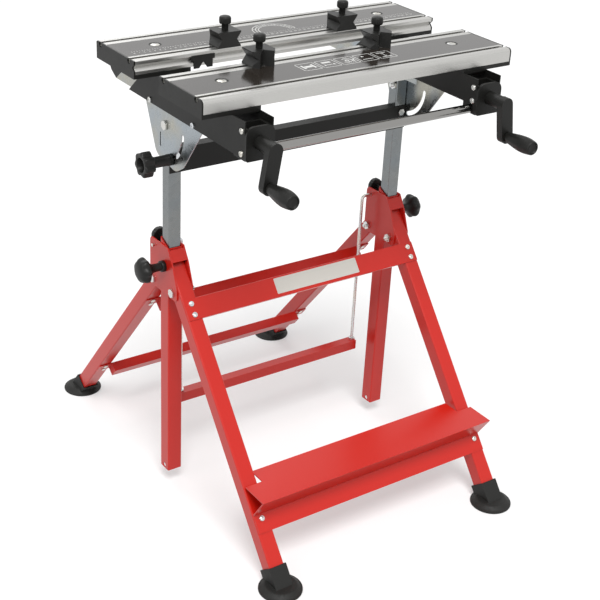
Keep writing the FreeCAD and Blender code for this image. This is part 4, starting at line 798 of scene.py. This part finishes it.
def figure(text, size, at, turn=0.0):
    # a number as a thin mesh
    curve = bpy.data.curves.new("figure", "FONT")
    curve.body, curve.size, curve.align_x, curve.align_y = text, size * mm, "CENTER", "CENTER"
    curve.extrude = printThick / 2 * mm
    curve.resolution_u = figureLook["curveSteps"]
    holder = bpy.data.objects.new("figure", curve)
    mesh = bpy.data.meshes.new_from_object(holder)
    bpy.data.objects.remove(holder)
    bpy.data.curves.remove(curve)
    shape = bmesh.new()
    shape.from_mesh(mesh)
    bpy.data.meshes.remove(mesh)
    bmesh.ops.remove_doubles(shape, verts=shape.verts, dist=figureLook["mergeWithin"])
    return putAt(shape, (*at, printMiddle), turn=turn)


ruler = {"left": -300, "centimetres": 60, "centimetre": 10, "tickTop": 51.5, "tickWidth": 0.6,
         "long": 5.0, "short": 3.6, "figureLine": 40.5, "figureSize": 6.4}


def makeRuler():
    marks, half = [], ruler["tickWidth"] / 2
    for tick in range(2 * ruler["centimetres"] + 1):  # one for each half centimetre
        x = ruler["left"] + tick * ruler["centimetre"] / 2
        length = ruler["long"] if tick % 2 == 0 else ruler["short"]
        marks.append(dash(x - half, x + half, ruler["tickTop"] - length, ruler["tickTop"]))
    for number in range(ruler["centimetres"] + 1):
        x = ruler["left"] + number * ruler["centimetre"]
        marks.append(figure(str(number), ruler["figureSize"], (x, ruler["figureLine"])))
    addPiece("rulerPrint", joined(marks), whitePrint, "carriage")


protractor = {"centre": (-2, 57), "rings": (31.5, 37.0, 43.0), "line": 1.2, "baseLine": 0.9,
              "tickWidth": 0.7, "tickEvery": 10, "figureEvery": 30, "figureSize": 4.6}


def makeProtractor():
    (x, y), half, base = protractor["centre"], protractor["line"] / 2, protractor["baseLine"] / 2
    inner, middle, outer = protractor["rings"]
    marks = [arcBand((x, y), ring - half, ring + half, 0, 180) for ring in protractor["rings"]]
    for angle in range(0, 181, protractor["tickEvery"]):
        across, up = math.cos(math.radians(angle)), math.sin(math.radians(angle))
        tick = bmesh.new()
        size = (protractor["tickWidth"] * mm, (middle - inner) * mm, printThick * mm, 1)
        bmesh.ops.create_cube(tick, size=1, matrix=Matrix.Diagonal(size))
        reach = (inner + middle) / 2
        marks.append(putAt(tick, (x + reach * across, y + reach * up, printMiddle),
                           turn=angle - 90))
        if angle % protractor["figureEvery"] == 0:
            reach = (middle + outer) / 2
            marks.append(figure(str(min(angle, 180 - angle)), protractor["figureSize"],
                                (x + reach * across, y + reach * up), turn=angle - 90))
    marks.append(dash(x - outer, x - inner, y - base, y + base))
    marks.append(dash(x + inner, x + outer, y - base, y + base))
    addPiece("protractorPrint", joined(marks), whitePrint, "carriage")


pictures = {"left": -91, "cell": 36, "gap": 4, "top": -131.5, "line": 1.3}
# marks in mm from the middle of their cell: a bar has its left, right, low and high side, an
# arc its centre, inner and outer radius and angles, an arrow its place, heading and size
pictureMarks = [
    # a board held between two jaws
    [("bar", -12, -8, -9, 9), ("bar", 8, 12, -9, 9), ("bar", -7, 7, -4, 4)],
    # a jaw that slides both ways
    [("bar", -9, 9, 3.5, 10), ("bar", -7, 7, -7, -5), ("arrow", -9, -6, 180, 4),
     ("arrow", 9, -6, 0, 4)],
    # a crank that turns
    [("arc", 0, 0, 9, 11, -60, 210), ("arrow", 5, -8.4, -150, 4), ("arc", 0, 0, 1.5, 4, 0, 359),
     ("bar", -0.8, 0.8, -11, -2)],
    # a table top that tilts
    [("bar", -11, 11, -9, -7), ("arc", -11, -9, 17, 19, 8, 62),
     ("arrow", -2.926, 6.8635, 153, 4)],
    # a height that changes
    [("bar", -10, 10, 9, 11.5), ("bar", -10, 10, -11.5, -9), ("bar", -1, 1, -5, 5),
     ("arrow", 0, 5, 90, 3.6), ("arrow", 0, -5, -90, 3.6)],
]


def cellFrame(x, y, size, line):
    return [dash(x, x + size, y - line, y), dash(x, x + size, y - size, y - size + line),
            dash(x, x + line, y - size, y), dash(x + size - line, x + size, y - size, y)]


def pictureMark(x, y, kind, *sizes):
    if kind == "bar":
        left, right, low, high = sizes
        return dash(x + left, x + right, y + low, y + high)
    maker = {"arc": arcBand, "arrow": arrowHead}[kind]
    return maker((x + sizes[0], y + sizes[1]), *sizes[2:])


def makePictures():
    size, top = pictures["cell"], pictures["top"]
    cells = [pictures["left"] + number * (size + pictures["gap"])
             for number in range(len(pictureMarks))]
    marks = []
    for x in cells:
        marks += cellFrame(x, top, size, pictures["line"])
    for x, picture in zip(cells, pictureMarks):
        marks += [pictureMark(x + size / 2, top - size / 2, *mark) for mark in picture]
    addPiece("picturePrint", joined(marks), whitePrint, "table")


makeRuler()
makeProtractor()
makePictures()


# blank plate on the front panel, lying in the front legs' leaning frame

plate = {"left": -70.3, "right": 121, "high": -18.6, "low": -48.8, "face": -17.0, "thick": 0.25,
         "sunk": 0.1, "corner": 1.6, "cornerSegments": 4}


def makeBlankPlate():
    shape = slab((plate["left"], plate["face"] - plate["thick"], plate["low"]),
                 (plate["right"], plate["face"] + plate["sunk"], plate["high"]))
    # the corners' edges are the ones that run through the plate
    corners = [edge for edge in shape.edges
               if abs((edge.verts[0].co - edge.verts[1].co).y) > plate["thick"] / 2 * mm]
    bmesh.ops.bevel(shape, geom=corners, offset=plate["corner"] * mm, offset_type="OFFSET",
                    segments=plate["cornerSegments"], profile=0.5, affect="EDGES", material=-1)
    bmesh.ops.transform(shape, matrix=legFrame["front"], verts=shape.verts)
    addPiece("blankPlate", shape, blankLabel, "base")


makeBlankPlate()
print("prints and plate made")


# pale floor and backdrop, lamps and camera

def seenDirectly(tree, camera=1.0, mirrored=1.0):
    # one share for rays from the camera, another for rays off glossy pieces and through clear
    # ones, and 0 for the rest
    path = tree.nodes.new("ShaderNodeLightPath").outputs
    other = maths(tree, "MAXIMUM", path["Is Glossy Ray"], path["Is Transmission Ray"])
    scaled = maths(tree, "MULTIPLY", other, mirrored)
    return maths(tree, "MULTIPLY_ADD", path["Is Camera Ray"], camera, scaled)


# given is the grey that lights the object, seen the one that the camera and gloss see
floorLook = {"size": 12.0, "below": 0.0005, "given": 0.62, "seen": 1.0, "roughness": 0.8,
             "specular": 0.1, "whiteShare": 0.38, "mirroredShare": 0.88}


def makeFloor():
    shape = bmesh.new()
    bmesh.ops.create_grid(shape, x_segments=1, y_segments=1, size=floorLook["size"])
    mesh = bpy.data.meshes.new("floor")
    shape.to_mesh(mesh)
    shape.free()
    floor = bpy.data.objects.new("floor", mesh)
    bpy.context.scene.collection.objects.link(floor)
    floor.location.z = -floorLook["below"]
    material, tree, shader = newMaterial("paleFloor")
    grey = span(tree, seenDirectly(tree), floorLook["given"], floorLook["seen"])
    tree.links.new(grey, shader.inputs["Base Color"])
    shader.inputs["Roughness"].default_value = floorLook["roughness"]
    shader.inputs["Specular IOR Level"].default_value = floorLook["specular"]
    white = addNode(tree, "ShaderNodeEmission", {"Color": (1, 1, 1, 1), "Strength": 1.0})
    share = seenDirectly(tree, floorLook["whiteShare"], floorLook["mirroredShare"])
    mix = addNode(tree, "ShaderNodeMixShader", {0: share, 1: shader.outputs[0],
                                                2: white.outputs[0]})
    tree.links.new(mix.outputs[0], tree.nodes["Material Output"].inputs["Surface"])
    floor.data.materials.append(material)


worldLook = {"light": 0.38, "shown": 1.0}


def makeWorld():
    world = bpy.data.worlds.new("studio")
    bpy.context.scene.world = world
    world.use_nodes = True
    tree = world.node_tree
    tree.nodes.clear()
    light, shown = [addNode(tree, "ShaderNodeBackground", {"Color": (1, 1, 1, 1),
                                                           "Strength": worldLook[key]})
                    for key in ("light", "shown")]
    mix = addNode(tree, "ShaderNodeMixShader", {0: seenDirectly(tree), 1: light.outputs[0],
                                                2: shown.outputs[0]})
    addNode(tree, "ShaderNodeOutputWorld", {"Surface": mix.outputs[0]})


# the sun's size is its angle, a lamp's the width of its disc
lamps = {
    "topLamp": {"kind": "SUN", "at": (-0.35, -0.75, 1.5), "aim": (0, 0, 0),
                "size": math.radians(26), "power": 2.3},
    "sideLamp": {"kind": "AREA", "at": (-2.6, -0.4, 2.2), "aim": (0, 0, 0.5), "size": 2.0,
                 "power": 14.0},
    "backLamp": {"kind": "AREA", "at": (0.4, 2.8, 2.9), "aim": (0, 0, 0.5), "size": 2.4,
                 "power": 24.0},
}


def makeLamps():
    for name, lamp in lamps.items():
        data = bpy.data.lights.new(name, lamp["kind"])
        if lamp["kind"] == "SUN":
            data.angle = lamp["size"]
        else:
            data.shape = "DISK"
            data.size = lamp["size"]
        data.energy = lamp["power"]
        item = bpy.data.objects.new(name, data)
        item.location = lamp["at"]
        toward = Vector(lamp["aim"]) - item.location
        item.rotation_euler = toward.to_track_quat("-Z", "Y").to_euler()
        bpy.context.scene.collection.objects.link(item)


cameraView = {"azimuth": -35.95, "elevation": 27.55, "roll": 3.12, "lens": 77.18,
              "sensor": 36.0, "at": (-1.2953, -1.8469, 1.5141)}


def makeCamera():
    azimuth, elevation, roll = [math.radians(cameraView[key])
                                for key in ("azimuth", "elevation", "roll")]
    back = Vector((math.sin(azimuth) * math.cos(elevation),
                   -math.cos(azimuth) * math.cos(elevation), math.sin(elevation)))
    level = Vector((math.cos(azimuth), math.sin(azimuth), 0))
    upright = back.cross(level)
    right = level * math.cos(roll) + upright * math.sin(roll)
    up = upright * math.cos(roll) - level * math.sin(roll)
    data = bpy.data.cameras.new("camera")
    data.lens = cameraView["lens"]
    data.sensor_width = cameraView["sensor"]
    camera = bpy.data.objects.new("camera", data)
    camera.matrix_world = Matrix((right, up, back)).transposed().to_4x4()
    camera.location = cameraView["at"]
    bpy.context.scene.collection.objects.link(camera)
    bpy.context.scene.camera = camera


makeFloor()
makeWorld()
makeLamps()
makeCamera()
bpy.context.scene.view_settings.view_transform = "Standard"
print("stage set")
